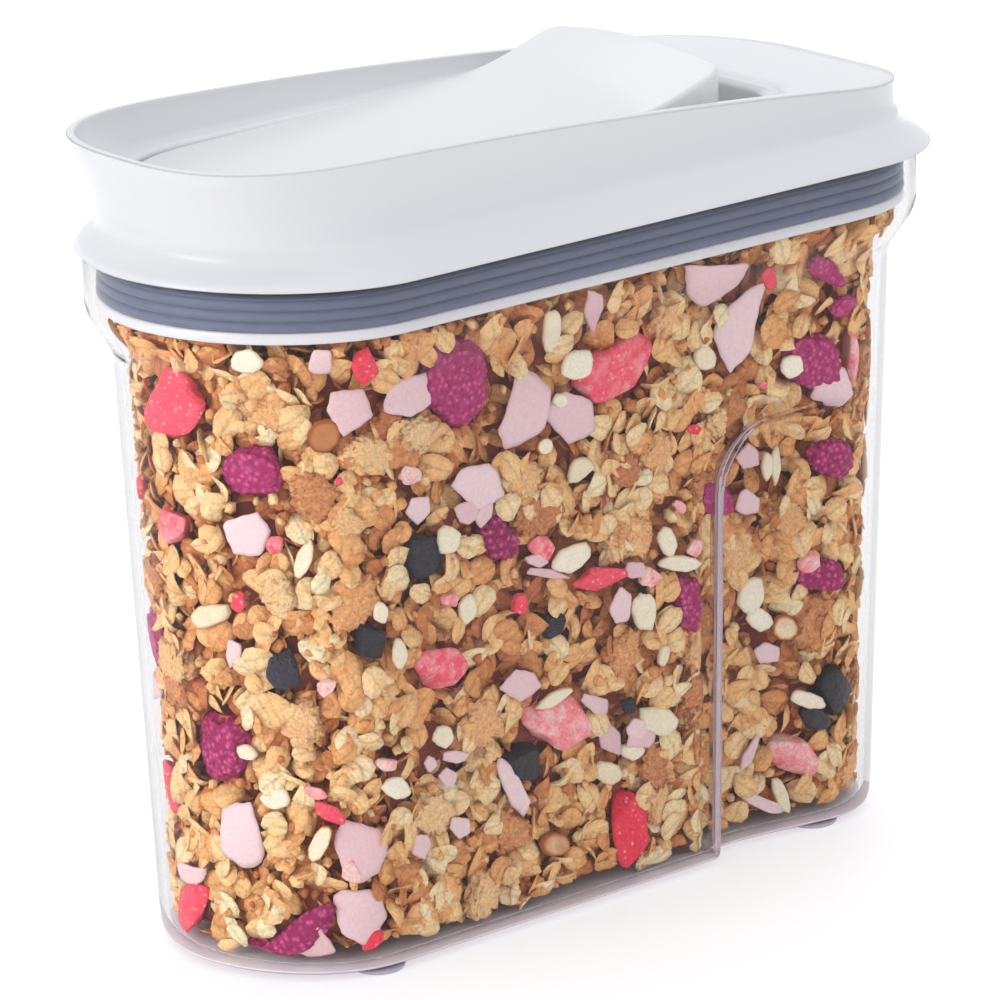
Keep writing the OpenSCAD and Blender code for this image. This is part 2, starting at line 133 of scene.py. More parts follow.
def rim_outline(inset):
    """The rim's outline brought in evenly, so that nose and corners shrink as an offset does."""
    return outline(-HALF_L + inset, HALF_L - inset, HALF_W - inset, RIM_NOSE - inset * 0.9,
                   RIM_POWER, RIM_CORNER - inset * 0.8)


def at_height(points, z):
    """Lifts flat points to height z, which may be one number or one for each point."""
    return np.column_stack([points, np.broadcast_to(z, len(points))])


def stack_faces(count, size, ring_shut=False):
    """Faces of a stack of count rings of size points. A flat face closes each end, or ring_shut
    joins the last ring to the first."""
    row = np.arange(count if ring_shut else count - 1)[:, None]
    col = np.arange(size)[None, :]
    above, beside = (row + 1) % count, (col + 1) % size
    corners = [row * size + col, row * size + beside, above * size + beside, above * size + col]
    faces = np.stack(corners, -1).reshape(-1, 4).tolist()
    if not ring_shut:
        faces += [list(range(size - 1, -1, -1)), list(range((count - 1) * size, count * size))]
    return faces


def make_piece(name, rings, body, replaces=(), ring_shut=False):
    """Puts a stack of closed rings, of the shape (rings, points, 3), into a mesh. Each ring runs
    counterclockwise seen from the end that the stack grows towards, so the faces point outwards."""
    rings = np.asarray(rings, float)
    faces = stack_faces(*rings.shape[:2], ring_shut)
    return make_mesh(name, rings.reshape(-1, 3), faces, body, replaces)


def make_mesh(name, points, faces, body, replaces=()):
    """A smooth-shaded piece from points in millimetres, riding on a body of the frame."""
    mesh = bpy.data.meshes.new(name)
    mesh.from_pydata(((points + [SHIFT_X, 0, 0]) * MM).tolist(), [], faces)
    mesh.polygons.foreach_set("use_smooth", np.ones(len(mesh.polygons), bool))
    mesh.update()
    piece = bpy.data.objects.new(name, mesh)
    bpy.context.scene.collection.objects.link(piece)
    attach(piece, body)
    if replaces:
        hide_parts(*replaces)
    return piece


def spline_rows(rows, steps):
    """Catmull-Rom curve through the rows of a table, with steps points to each interval."""
    p = np.asarray(rows, float)
    p = np.vstack([2 * p[0] - p[1], p, 2 * p[-1] - p[-2]])
    u = np.linspace(0, 1, steps, endpoint=False)[:, None]
    out = []
    for i in range(1, len(p) - 2):
        a, b, c, d = p[i - 1:i + 3]
        out.append(0.5 * (2 * b + (c - a) * u + (2 * a - 5 * b + 4 * c - d) * u ** 2
                          + (3 * b - a - 3 * c + d) * u ** 3))
    return np.vstack(out + [p[-2][None]])


# ---------- container ----------

def body_inset(z):
    """How far the outside lies inside the rim's edge: a smooth swell from body to collar over the
    neck, and below it a straight draft towards the base."""
    u = (NECK_LOW - z) / NECK_LOW
    below = np.where(z < NECK_LOW, SIDE_DRAFT * u, 0)
    return COLLAR_INSET + NECK_STEP * (1 - smooth((z - NECK_LOW) / NECK_H)) + below


def write_share(piece, name, value):
    """Stores a number for each point of a piece, as an attribute that its material reads."""
    piece.data.attributes.new(name, "FLOAT", "POINT").data.foreach_set("value", value)


def grip_press(x, z, soft=0.0):
    """Depth of the hand grips: full just behind their front edge, fading to the back corner,
    with a quarter-round top front corner and a quick cubic step at the edge. soft widens the
    step outwards."""
    back = HALF_L - RIM_CORNER + 4
    dx = np.maximum(GRIP_X + GRIP_ROUND - x, 0)
    dz = np.maximum(z - GRIP_TOP + GRIP_ROUND, 0)
    edge = smooth((GRIP_ROUND + soft - np.hypot(dx, dz)) / (GRIP_STEP + soft))
    fade = np.where(x < GRIP_X - soft, 0, 1 - smooth((x - GRIP_X - 8) / (back - GRIP_X)))
    return GRIP_DEPTH * edge * fade


def body_ring(z, inset, level, grip=True, soft=0.0):
    """One ring of the body: the rim's outline brought in, and pressed in at the grips."""
    k = float(body_inset(np.array(z)) + inset)
    p = outline(-HALF_L + k, HALF_L - k, HALF_W - k, RIM_NOSE - k, RIM_POWER, RIM_CORNER - k * 0.75,
                steps=(66, 100, 26))
    if grip:
        p[:, 1] -= np.sign(p[:, 1]) * np.minimum(grip_press(p[:, 0], z, soft), np.abs(p[:, 1]))
    return at_height(p, level)


def body_levels():
    """Heights of the rings between base and neck, close together over the grips' round tops."""
    low, high = BASE_ROUND, NECK_LOW - FOOT_H
    z = np.linspace(low, high, 46)
    return np.sort(np.concatenate([z, np.linspace(GRIP_TOP - GRIP_ROUND, GRIP_TOP + 2, 30)]))


def container_body():
    """Clear body: up the outside, over the rounded rim and down the inside to the floor."""
    turn = np.linspace(0, np.pi / 2, 9)
    neck = np.linspace(NECK_LOW, NECK_TOP, 34)
    rim = np.linspace(0, np.pi, 9)
    low = [body_ring(0, BASE_ROUND * (1 - np.sin(t)), FOOT_H + BASE_ROUND * (1 - np.cos(t)))
           for t in turn]
    out = [body_ring(z, 0, FOOT_H + z) for z in body_levels()[1:-1]]
    out += [body_ring(z, 0, z, False) for z in neck]
    over = [body_ring(NECK_TOP, WALL / 2 - WALL / 2 * np.cos(t), BODY_TOP - 1 + np.sin(t), False)
            for t in rim]
    inner = [body_ring(z, WALL, z - NECK_LAG, False) for z in neck[::-1]]
    inner += [body_ring(z, WALL, FOOT_H + z) for z in body_levels()[-2:0:-1]]
    floor = [body_ring(FLOOR_T + BASE_ROUND * (1 - np.cos(t)), WALL + BASE_ROUND * (1 - np.sin(t)),
                       FOOT_H + FLOOR_T + BASE_ROUND * (1 - np.cos(t))) for t in turn[::-1]]
    rings = np.array(low + out + over + inner + floor)
    piece = make_piece("container_body_clear", rings, "container", ("container_body",))
    x, z = rings[..., 0].ravel(), rings[..., 2].ravel() - FOOT_H
    press = [grip_press(x, z + d) - grip_press(x + e, z) for d, e in ((0, 1.5), (1.5, 0))]
    # painted light: a share for each point, full at the steps of the grips and along the base's
    # edge, where the material paints the clear wall lilac grey for the light that runs along it
    painted_wall_light = smooth(np.abs(press).max(0) / 2.0) + smooth((1.7 - z) / 1.2)
    painted_wall_light = np.clip(painted_wall_light, 0, 1) * (z < NECK_LOW)
    write_share(piece, "painted_wall_light", painted_wall_light)
    return piece


def base_core():
    """Pale lilac heart of the thick base, a painted reflection that stands for the light the thick
    base gathers and throws back: the base's outline brought in, under the rounded edge.
    """
    low, high = FOOT_H + 0.35, FOOT_H + FLOOR_T - 0.35
    rows = [(3.0, low), (1.8, low + 0.3), (1.0, low + 0.8), (0.9, high - 0.2), (1.2, high)]
    rings = [body_ring(z - FOOT_H, inset, z) for inset, z in rows]
    return make_piece("container_base_painted_reflection", rings, "container", ())


def grip_folds():
    """Pale cords in the folds of the grips, which stand for the light that a thick fold gathers.
    Each runs inside the wall, up from the base and round the quarter of the grip's front corner,
    and thins to nothing along the top. Its radius is a cosine of the way along."""
    radius, depth, taper = 0.55, 1.35, 0.72        # taper: where along it a cord starts to thin
    bend = GRIP_ROUND - GRIP_STEP / 2
    up = np.linspace(1.6, GRIP_TOP - GRIP_ROUND, 60)
    turn = np.linspace(0, np.radians(84), 30)[1:]
    x = GRIP_X + GRIP_ROUND - bend * np.r_[np.ones(60), np.cos(turn)]
    z = np.r_[up, GRIP_TOP - GRIP_ROUND + bend * np.sin(turn)]
    way = np.linspace(0, 1, len(x))
    thick = radius * np.cos(np.pi / 2 * np.clip((way - taper) / (1 - taper), 0, 1)) + 0.02
    y = HALF_W - body_inset(z) - grip_press(x, z) - depth
    along = np.gradient(np.stack([x, y, z], 1), axis=0)
    along /= np.linalg.norm(along, axis=1)[:, None]
    across = np.cross(along, [0, 1, 0])
    across /= np.linalg.norm(across, axis=1)[:, None]
    spin = np.linspace(0, 2 * np.pi, 12, endpoint=False)[:, None]
    loop = across[:, None] * np.cos(spin) + np.cross(along, across)[:, None] * np.sin(spin)
    far = np.stack([x, y, z + FOOT_H], 1)[:, None] + thick[:, None, None] * loop
    for side, name in ((1, "container_fold_far"), (-1, "container_fold_near")):
        rings = far * [1, side, 1]
        yield make_piece(name, rings[:, ::-1] if side < 0 else rings, "container", ())


def container_feet():
    """Four low round pads: a disc whose side swells and turns in by a quarter round below."""
    edge, sides = 0.7, 40
    turn = np.linspace(0, np.pi / 2, 6)
    spin = np.linspace(0, 2 * np.pi, sides, endpoint=False)
    radius = np.r_[FOOT_R - edge + edge * np.sin(turn), FOOT_R]
    z = np.r_[edge - edge * np.cos(turn), FOOT_H - 0.02]
    reach = HALF_W - body_inset(np.array(0.0)) - BASE_ROUND - FOOT_R + 3
    points, faces = [], []
    for x, side in ((-72, -1), (-72, 1), (78, -1), (78, 1)):
        y = side * (reach - (2 if x > 0 else 0))
        start = len(points) * len(z) * sides
        rings = [x + np.outer(radius, np.cos(spin)), y + np.outer(radius, np.sin(spin)),
                 np.outer(z, np.ones(sides))]
        points.append(np.stack(rings, -1).reshape(-1, 3))
        faces += [[start + i for i in face] for face in stack_faces(len(z), sides)]
    return make_mesh("container_feet", np.concatenate(points), faces, "container", ())


# ---------- lid ----------

def top_z(x):
    """Height of the lip and deck: nearly level at the spout, falling ever faster to the back."""
    u = (x + HALF_L) / RIM_L
    return LIP_Z - (LIP_H - DECK_H) * (0.1 * u + 0.9 * u * u)


def lip_share(x):
    """Share of its width that the lip keeps at x, as it draws in to the back."""
    return 1 - LIP_NARROW / LIP_HALF * np.maximum(x + HALF_L - RIM_NOSE, 0) / (RIM_L - RIM_NOSE)


# Each row: height above the rim, share of the rise to the lip or deck, inset at the nose, the
# sides and the back, and how far the outline has turned from the rim's into the lip's.
SIDE = HALF_W - LIP_HALF
SKIRT = [[0, 0, 0, 0, -BACK_BULGE, 0], [1.5, 0, 0.8, 0.5, -0.5 * BACK_BULGE, 0],
         [3.2, 0, 3, 2, 1.6, 0], [5, 0, 4.8, 4, 3.8, 0], [7, 0, 6.2, 5.8, 4.8, 0.1],
         [7, 0.1, 6.4, 7, 4.2, 0.25], [7, 0.24, 7, 9.6, 3.6, 0.55], [7, 0.42, 6.5, 10.9, 2.6, 0.75],
         [7, 0.65, 4.9, 10.9, 2.5, 0.9], [7, 0.85, LIP_FRONT + 0.9, SIDE + 0.5, 2.8, 1],
         [7, 1, LIP_FRONT, SIDE, 3, 1]]


def skirt_ring(row, thick=0.0, drop=0.0):
    """Ring of the skirt for one row of the table, brought in by thick."""
    height, share, front, side, back, turn = row
    k = np.array([front, side, back]) + thick
    p = outline(-HALF_L + k[0], HALF_L - k[2], HALF_W - k[1],
                RIM_NOSE - k[0] * 0.2 * (1 - turn) - thick * turn,
                RIM_POWER + (LIP_POWER - RIM_POWER) * turn,
                RIM_CORNER - (k[1] * 0.5 * (1 - turn) + (7 + thick) * turn))
    p[:, 1] *= 1 + (lip_share(p[:, 0]) - 1) * turn
    z = RIM_Z + height + share * (top_z(p[:, 0]) - drop - RIM_Z - FLANGE_H)
    return at_height(p, z)


def pocket_outline(wide, forward, corner=9.0):
    """Outline of the cap's pocket, widened, with its nose moved forward."""
    return outline(CAP_FRONT - CAP_GAP - forward, HINGE_X + TROUGH_R + wide * 0.3,
                   POCKET_HALF + wide, 36 + forward, LIP_POWER, corner)


def lip_inner():
    """Inner edge of the lip: parallel to it round the spout, drawn in to the trough behind."""
    full = LIP_HALF - LIP_T
    p = pocket_outline(full - POCKET_HALF, 18 - CAP_GAP - LIP_FRONT - LIP_T, 11.0)
    share = smooth((p[:, 0] + HALF_L / 3) / HALF_L * 1.2)
    p[:, 1] *= 1 + ((LEDGE_HALF + 0.5) / full - 1) * share
    return p


def mouth_outline(wide):
    """Outline of the pour opening, widened."""
    return outline(CAP_FRONT + 6 - wide, HINGE_X - 34 + wide, POCKET_HALF - 6 + wide, 30 + wide,
                   LIP_POWER, 10 + wide)


def bridge(a, b, count, lift=None):
    """Rings in even steps from ring a to ring b, both left out. lift gives their height at x."""
    out = []
    for t in np.arange(1, count + 1) / (count + 1):
        ring = a + (b - a) * t
        if lift is not None:
            ring[:, 2] = lift(ring[:, 0])
        out.append(ring)
    return out


def pocket_floor(x, more=0.0):
    """Height of the pocket's floor: the seat, and behind the hinge line the lower of two round
    hollows about it, a small one for the cap's tail and a wide one, cut off flat, for its heel."""
    d = x - HINGE_X
    tail = np.sqrt(np.maximum((TAIL_R + more) ** 2 - d ** 2, 0))
    heel = np.minimum(np.sqrt(np.maximum(TROUGH_R ** 2 - d ** 2, 0)), HINGE_Z - TROUGH_FLOOR)
    drop = np.where(np.abs(d) < TAIL_R + more, tail, 0)
    drop = np.maximum(drop, np.where(d > -1.5 - more, heel, 0))
    return np.where(d < -TAIL_R - more, SEAT_Z, np.minimum(SEAT_Z, HINGE_Z - drop))


def lid_shell():
    """White shell: from the pour opening's lower edge out under the seat, down inside the skirt,
    up its outside, over the lip or deck, down the spout's flared wall and across the seat."""
    def under(x):
        return np.minimum(FOOT_LINE - 3.5, top_z(x) - SHELL_T)

    def base(x):
        return pocket_floor(x, 2.0) - SEAT_T

    low = at_height(mouth_outline(0), SEAT_Z - SEAT_T)
    pocket = pocket_outline(SHELL_T, SHELL_T)
    below = at_height(pocket, base(pocket[:, 0]))
    rings = [low] + bridge(low, below, 44, base) + [below, at_height(pocket, under(pocket[:, 0]))]
    inner = skirt_ring(SKIRT[7], SHELL_T)
    inner[:, 2] = under(inner[:, 0])
    rings.append(inner)
    rings += [skirt_ring(row, SHELL_T, 1.0) for row in spline_rows(SKIRT[:7], 3)[::-1]]
    rows = spline_rows(SKIRT, 9)
    rows[:, 2:5] = np.maximum(rows[:, 2:5], [0, 0, -BACK_BULGE])
    outside = [skirt_ring(row) for row in rows]
    rings.append(skirt_ring([0, 0, 0.4, 0.4, 0.4 - 0.5 * BACK_BULGE, 0]))
    outside[0][:, 2] += 0.25
    lip = skirt_ring([7, 1, LIP_FRONT + 0.5, SIDE + 0.5, 3.5, 1])
    outside[-1][:, 2] -= 0.5
    rings += outside + [lip]
    edge = lip_inner()
    inside = at_height(edge, top_z(edge[:, 0]))
    rings += bridge(lip, inside, 7, top_z) + [inside]
    ledge = at_height(pocket_outline(LEDGE_HALF - POCKET_HALF, 4.4), FOOT_LINE)
    rim = at_height(pocket_outline(0.5, 0.5), POCKET_TOP + 0.1)
    wall = at_height(pocket_outline(0, 0), POCKET_TOP - 0.5)
    rings += flare(inside, ledge, 10)
    rings += bridge(ledge, rim, 2) + [rim, wall]
    seat = at_height(pocket_outline(0, 0), pocket_floor(pocket_outline(0, 0)[:, 0]))
    rings += bridge(wall, seat, 4) + [seat]
    mouth = at_height(mouth_outline(0), SEAT_Z)
    rings += bridge(seat, mouth, 44, pocket_floor) + [mouth]
    return make_piece("lid_shell_white", rings, "lid", ("lid_shell",),
                      ring_shut=True)


def flare(top, foot, count):
    """The spout's wall from the lip down to the ledge: it starts steep and leans in as it nears
    the ledge, so a share t of the way down it has come in by t^1.6."""
    t = (np.arange(1, count + 1) / count)[:, None, None]
    p = top + (foot - top) * t
    p[..., :2] = top[None, :, :2] + (foot - top)[None, :, :2] * t ** 1.6
    return list(p)


def lid_plug():
    """White tray under the shell: band, groove wall, web, inner wall, plate and pour duct."""
    band = COLLAR_INSET + WALL + 0.5
    path = [(band + 0.9, BAND_LOW), (band + 0.25, BAND_LOW + 0.25), (band, BAND_LOW + 0.9),
            (band, GASKET_LOW - 0.4), (band + 0.4, GASKET_LOW), (GROOVE_INSET, GASKET_LOW),
            (GROOVE_INSET, RIM_Z), (SHELL_T + 1.4, RIM_Z), (SHELL_T + 1.4, RIM_Z + 1.4),
            (GROOVE_INSET + 2.2, RIM_Z + 1.4), (GROOVE_INSET + 2.2, BAND_LOW + 2.2)]
    rings = [at_height(rim_outline(e), z) for e, z in path]
    rings += [at_height(mouth_outline(w), z) for w, z in
              [(1.8, BAND_LOW + 2.2), (1.8, SEAT_Z - SEAT_T), (0, SEAT_Z - SEAT_T), (0, BAND_LOW)]]
    return make_piece("lid_plug_white", rings, "lid", ("lid_plug",), ring_shut=True)


def lid_gasket():
    """Soft ring with four level ribs, each a half sine between narrow valleys. At the top the
    ring steps back under the lid, to where light hardly comes."""
    crest = COLLAR_INSET + WALL + 0.3
    z = np.linspace(GASKET_LOW, GASKET_TOP, 65)
    ribs, rib_depth = 4, 0.95
    phase = (z - GASKET_LOW) / GASKET_H * ribs
    depth = rib_depth * (1 - np.abs(np.sin(np.pi * phase)) ** 0.55)
    depth = np.maximum(depth, 2.2 * smooth((z - GASKET_TOP + 2.5) / 0.5))
    rings = [at_height(rim_outline(crest + d), h) for d, h in zip(depth, z)]
    rings += [at_height(rim_outline(GROOVE_INSET), h) for h in (GASKET_TOP, GASKET_LOW)]
    piece = make_piece("lid_gasket_slate", rings, "lid", ("lid_gasket",),
                       ring_shut=True)
    # painted shade: a share for each point, full on the top of the ring that lies in the gap under
    # the lid, where the material paints it nearly black
    painted_gap_shade = smooth((np.array(rings)[..., 2].ravel() - GASKET_TOP + 2.3) / 0.5)
    write_share(piece, "painted_gap_shade", painted_gap_shade)
    return piece


# ---------- flip cap ----------

CAP_LOW = SEAT_Z + 0.3
CAP_SEAM = CAP_LOW + 1.8
CAP_NOSE, CAP_CROWN, CAP_CORNER = 38.0, 2.3, 6.5
CAP_RISE = 29.7 - SEAT_H - 0.3         # from the cap's underside to its back edge


def cap_edge(x):
    """Height of the cap's top edge: a shallow parabola, then a cubic kick up to the back edge."""
    u = np.clip((x - CAP_FRONT) / (CAP_BACK - CAP_FRONT), 0, 1)
    front, slope = 4.3, 5.0
    return CAP_LOW + front + slope * (0.25 * u + 0.75 * u * u) \
        + (CAP_RISE - front - slope) * (smooth((u - 0.76) / 0.3) / smooth(0.8)) ** 1.3


def cap_wide(x):
    """Half width of the cap at x: a superellipse nose, straight sides, and quarter-round corners
    at the back."""
    u = np.clip((x - CAP_FRONT) / CAP_NOSE, 0, 1)
    corner = np.clip(x - CAP_BACK + CAP_CORNER, 0, CAP_CORNER)
    return CAP_HALF * (1 - (1 - u) ** LIP_POWER) ** (1 / LIP_POWER) \
        - CAP_CORNER + np.sqrt(CAP_CORNER ** 2 - corner ** 2)


def cap_top():
    """Wedge-shaped top, as sections across it: upright sides, round top edges and a crown that
    grows with the square of the way back. The back edge is rounded over the last sections."""
    t = np.radians(np.linspace(3, 90, 34))
    u = np.linspace(0, 1, 90)[1:]
    nose = CAP_FRONT + CAP_NOSE * (1 - np.cos(t) ** (2 / LIP_POWER))
    round_r = 1.6
    turn = np.linspace(0, np.pi / 2, 9)[1:]
    u = 1 - (1 - u) ** 1.5
    x = np.concatenate([nose, nose[-1] + (CAP_BACK - round_r - nose[-1]) * u,
                        CAP_BACK - round_r + round_r * np.sin(turn)])
    drop = np.concatenate([np.zeros(len(nose) + len(u)), round_r * (1 - np.cos(turn))])
    edge, wide = cap_edge(x), cap_wide(x)
    share = np.clip((x - CAP_FRONT) / (CAP_BACK - CAP_FRONT), 0, 1)
    crown = 0.1 + (CAP_CROWN - 0.1) * share ** 2
    radius = np.minimum(1.2, (edge - CAP_SEAM) / 2)
    q = np.linspace(0, np.pi / 2, 7)
    over = np.linspace(1, 0, 15)[1:]
    sections = []
    for i in range(len(x)):
        w, r, top = wide[i], radius[i], edge[i] - drop[i]
        y = np.concatenate([[w - 0.3, w], np.full(3, w), w - r + r * np.cos(q), over * (w - r)])
        side = CAP_SEAM + (top - r - CAP_SEAM) * np.array([0.3, 0.6, 0.9])
        z = np.concatenate([[CAP_SEAM, CAP_SEAM + 0.3], side, top - r + r * np.sin(q),
                            top + crown[i] * (1 - (over * (w - r) / w) ** 2)])
        z[5:12] += crown[i] * (1 - ((w - r + r * np.cos(q)) / w) ** 2)
        y, z = np.concatenate([y, -y[-2::-1]]), np.concatenate([z, z[-2::-1]])
        sections.append(np.column_stack([np.full(len(y), x[i]), y, z]))
    return make_piece("cap_top_white", sections, "cap", ("cap_top",))


# ---------- finishes ----------

def fill(socket, value):
    """Gives a socket a plain number or colour, or links it to a socket or to a node's first one."""
    if isinstance(value, bpy.types.Node):
        value = next(s for s in value.outputs if s.enabled)
    if isinstance(value, bpy.types.NodeSocket):
        socket.id_data.links.new(value, socket)
    else:
        socket.default_value = (*value, 1) if socket.type == "RGBA" else value


def set_sockets(node, **values):
    """Fills a node's sockets by their names, with underscores for spaces."""
    for key, value in values.items():
        fill(node.inputs[key.replace("_", " ")], value)


def new_material(name):
    """An empty material with a Principled shader. Returns them with a function that adds a node,
    and with the piece's own coordinates."""
    m = bpy.data.materials.new(name)
    m.use_nodes = True
    tree = m.node_tree
    tree.nodes.clear()
    out = tree.nodes.new("ShaderNodeOutputMaterial")
    shader = tree.nodes.new("ShaderNodeBsdfPrincipled")
    tree.links.new(shader.outputs[0], out.inputs[0])
    coords = tree.nodes.new("ShaderNodeTexCoord")

    def add(kind, *sockets, **values):
        """A node whose first sockets are filled in their order. The names left are settings of
        the node, or more of its sockets."""
        node = tree.nodes.new("ShaderNode" + kind)
        for key in [k for k in values if hasattr(node, k)]:
            setattr(node, key, values.pop(key))
        for socket, value in zip(node.inputs, sockets):
            fill(socket, value)
        set_sockets(node, **values)
        return node

    return m, shader, add, coords.outputs["Object"]


def moulded_white(name, colour, rough):
    """Glossy moulded plastic: a faint cloudiness in the colour, a fine ripple in the surface and
    a roughness that drifts slowly over the piece."""
    m, shader, add, place = new_material(name)
    set_sockets(shader, Roughness=rough, IOR=1.49, Specular_IOR_Level=0.5)
    cloud = add("TexNoise", place, Scale=18.0, Detail=3.0)
    shade = tuple(c * 0.965 for c in colour)
    tint = add("Mix", data_type="RGBA", Factor=cloud, A=shade, B=colour)
    drift = add("MapRange", cloud, To_Min=rough * 0.85, To_Max=rough * 1.2)
    ripple = add("TexNoise", place, Scale=900.0, Detail=2.0)
    bump = add("Bump", Height=ripple, Strength=0.06, Distance=0.0002)
    set_sockets(shader, Base_Color=tint, Roughness=drift, Normal=bump)
    return m


def soft_rubber(name, colour):
    """Matt silicone: a fine grain in colour and surface, and a soft sheen. A point attribute paints
    shade on it, nearly black, where it lies deep in the gap under the lid."""
    m, shader, add, place = new_material(name)
    set_sockets(shader, IOR=1.42, Sheen_Weight=0.15, Sheen_Roughness=0.5)
    grain = add("TexNoise", place, Scale=420.0, Detail=4.0)
    dark, light = (tuple(c * k for c in colour) for k in (0.82, 1.15))
    mix = add("Mix", data_type="RGBA", Factor=grain, A=dark, B=light)
    painted_gap_shade = add("Attribute", attribute_name="painted_gap_shade").outputs["Fac"]
    # painted shade: nearly black where the ring lies in the gap under the lid
    deep = add("Mix", data_type="RGBA", Factor=painted_gap_shade, A=mix, B=(0.012, 0.011, 0.014))
    rough = add("MapRange", grain, To_Min=0.42, To_Max=0.6)
    bump = add("Bump", Height=grain, Strength=0.25, Distance=0.0002)
    set_sockets(shader, Base_Color=deep, Roughness=rough, Normal=bump)
    return m


def clear_plastic(name):
    """Clear moulded plastic: nearly colourless on the flat, and painted lilac grey, for the light
    that runs along the wall, where a point attribute says so. It bends light very little, so that
    the thin walls don't trap it, and a clear coat gives the gloss of the real thing."""
    m, shader, add, place = new_material(name)
    set_sockets(shader, Roughness=0.02, IOR=1.04, Transmission_Weight=1.0, Coat_Weight=0.3,
                Coat_Roughness=0.03, Coat_IOR=1.45)
    painted_wall_light = add("Attribute", attribute_name="painted_wall_light").outputs["Fac"]
    # painted light: lilac grey where light runs along the wall
    tint = add("Mix", data_type="RGBA", Factor=painted_wall_light, A=(0.975, 0.97, 0.97), B=(0.58, 0.47, 0.52))
    wave = add("TexNoise", place, Scale=14.0, Detail=1.0)
    bump = add("Bump", Height=wave, Strength=0.12, Distance=0.002)
    set_sockets(shader, Base_Color=tint, Normal=bump)
    inside = add("VolumeAbsorption", Color=(0.5, 0.5, 0.5), Density=32.0)
    out = next(n for n in m.node_tree.nodes if n.type == "OUTPUT_MATERIAL")
    set_sockets(out, Volume=inside)
    return m


def drawn_steel(name):
    """Pin steel with fine lines round it."""
    m, shader, add, place = new_material(name)
    set_sockets(shader, Base_Color=(0.62, 0.62, 0.64), Metallic=1.0, Roughness=0.3)
    stretch = add("Mapping", place, Scale=(1, 40, 1))
    lines = add("TexNoise", stretch, Scale=300.0)
    bump = add("Bump", Height=lines, Strength=0.2, Distance=0.0001)
    set_sockets(shader, Normal=bump)
    return m


def finish_with(piece, material):
    """Gives a piece one material in place of any it has."""
    piece.data.materials.clear()
    piece.data.materials.append(material)


def food_finish(name, stops, grain, streak, bump, rough=(0.5, 0.8), spots=None, crease=0.0,
                speck=0.2):
    """Food: the piece's own tone, moved by streaks of the given scale, picks a colour from the
    ramp's stops. Specks darken it, crease draws a dark line along each flake's middle, and spots
    = (scale, size, colour) adds round spots that fade towards their rims."""
    m, shader, add, place = new_material(name)
    set_sockets(shader, IOR=1.4, Specular_IOR_Level=0.35)
    tone = add("Attribute", attribute_name="tone").outputs["Fac"]
    flat = add("Attribute", attribute_name="flat").outputs["Vector"]
    streaks = add("TexNoise", flat, Scale=streak, Detail=4.0, Distortion=0.4)
    specks = add("TexNoise", place, Scale=1300.0, Detail=3.0)
    spread = add("Math", streaks, grain, tone, operation="MULTIPLY_ADD")
    lower = add("Math", spread, grain / 2, operation="SUBTRACT")
    shade = add("ValToRGB", lower)
    ends = shade.color_ramp.elements
    for end, (spot, colour) in zip(ends, (stops[0], stops[-1])):
        end.position, end.color = spot, (*colour, 1)
    for spot, colour in stops[1:-1]:
        ends.new(spot).color = (*colour, 1)
    level = add("MapRange", specks, From_Min=0.36, From_Max=0.62, To_Min=1 - speck, To_Max=1.04)
    if crease:
        across = add("SeparateXYZ", flat).outputs["Y"]
        wander = add("Math", streaks, 1.6, across, operation="MULTIPLY_ADD")
        off = add("Math", wander, 0.8, operation="SUBTRACT")
        width = add("Math", off, operation="ABSOLUTE")
        line = add("MapRange", width, interpolation_type="SMOOTHSTEP", From_Max=0.75,
                   To_Min=1 - crease)
        level = add("Math", line, level, operation="MULTIPLY")
    if spots:
        scale, size, colour = spots
        # spots: seeds on the strawberries, painted highlights on the raspberries' drupelets
        seed_and_highlight_spots = add("TexVoronoi", place, Scale=scale)
        near = add("MapRange", seed_and_highlight_spots, interpolation_type="SMOOTHSTEP", From_Max=size, To_Min=1.0,
                   To_Max=0.0)
        shade = add("Mix", data_type="RGBA", Factor=near, A=shade, B=colour)
    dim = add("VectorMath", shade, operation="SCALE", Scale=level)
    dull = add("MapRange", streaks, To_Min=rough[0], To_Max=rough[1])
    fine = add("Bump", Height=specks, Strength=bump * 0.8, Distance=0.0004)
    coarse = add("Bump", Height=streaks, Normal=fine, Strength=bump, Distance=0.0009)
    set_sockets(shader, Base_Color=dim, Roughness=dull, Normal=coarse)
    return m


# ---------- food ----------

FOOD_LOW = FOOT_H + FLOOR_T + 0.4
SKIN_TOP = BAND_LOW - 1.4
SKIN_GAP = 0.35                        # between the wall and the nearest food
ROUND = 900                            # columns of the skin


def food_skin():
    """Places on a skin just inside the wall: rows of rising height, and columns at even steps of
    length round it from the tip of the nose along the near side. Returns them with the directions
    inwards and the length round the skin at its middle."""
    rows = []
    for z in np.linspace(FOOD_LOW, SKIN_TOP, 200):
        turn = np.arcsin(np.clip((FOOT_H + FLOOR_T + BASE_ROUND - z) / BASE_ROUND, 0, 1))
        level = z - FOOT_H if z < NECK_LOW else z + NECK_LAG
        inset = WALL + SKIN_GAP + BASE_ROUND * (1 - np.cos(turn))
        ring = body_ring(level, inset, z, soft=5.0)
        ring = np.vstack([ring, ring[:1]])
        run = np.r_[0, np.cumsum(np.hypot(*np.diff(ring[:, :2], axis=0).T))]
        even = np.linspace(0, run[-1], ROUND + 1)[:-1]
        rows.append(np.column_stack([np.interp(even, run, ring[:, 0]),
                                     np.interp(even, run, ring[:, 1]), np.full(ROUND, z)]))
    skin = np.array(rows)
    round_way = (np.roll(skin, -2, 1) - np.roll(skin, 2, 1)) / 4
    inward = np.cross(np.gradient(skin, axis=0), round_way)
    inward /= np.linalg.norm(inward, axis=2, keepdims=True)
    middle = skin[len(skin) // 2, :, :2]
    return skin, inward, np.hypot(*np.diff(middle, axis=0).T).sum()


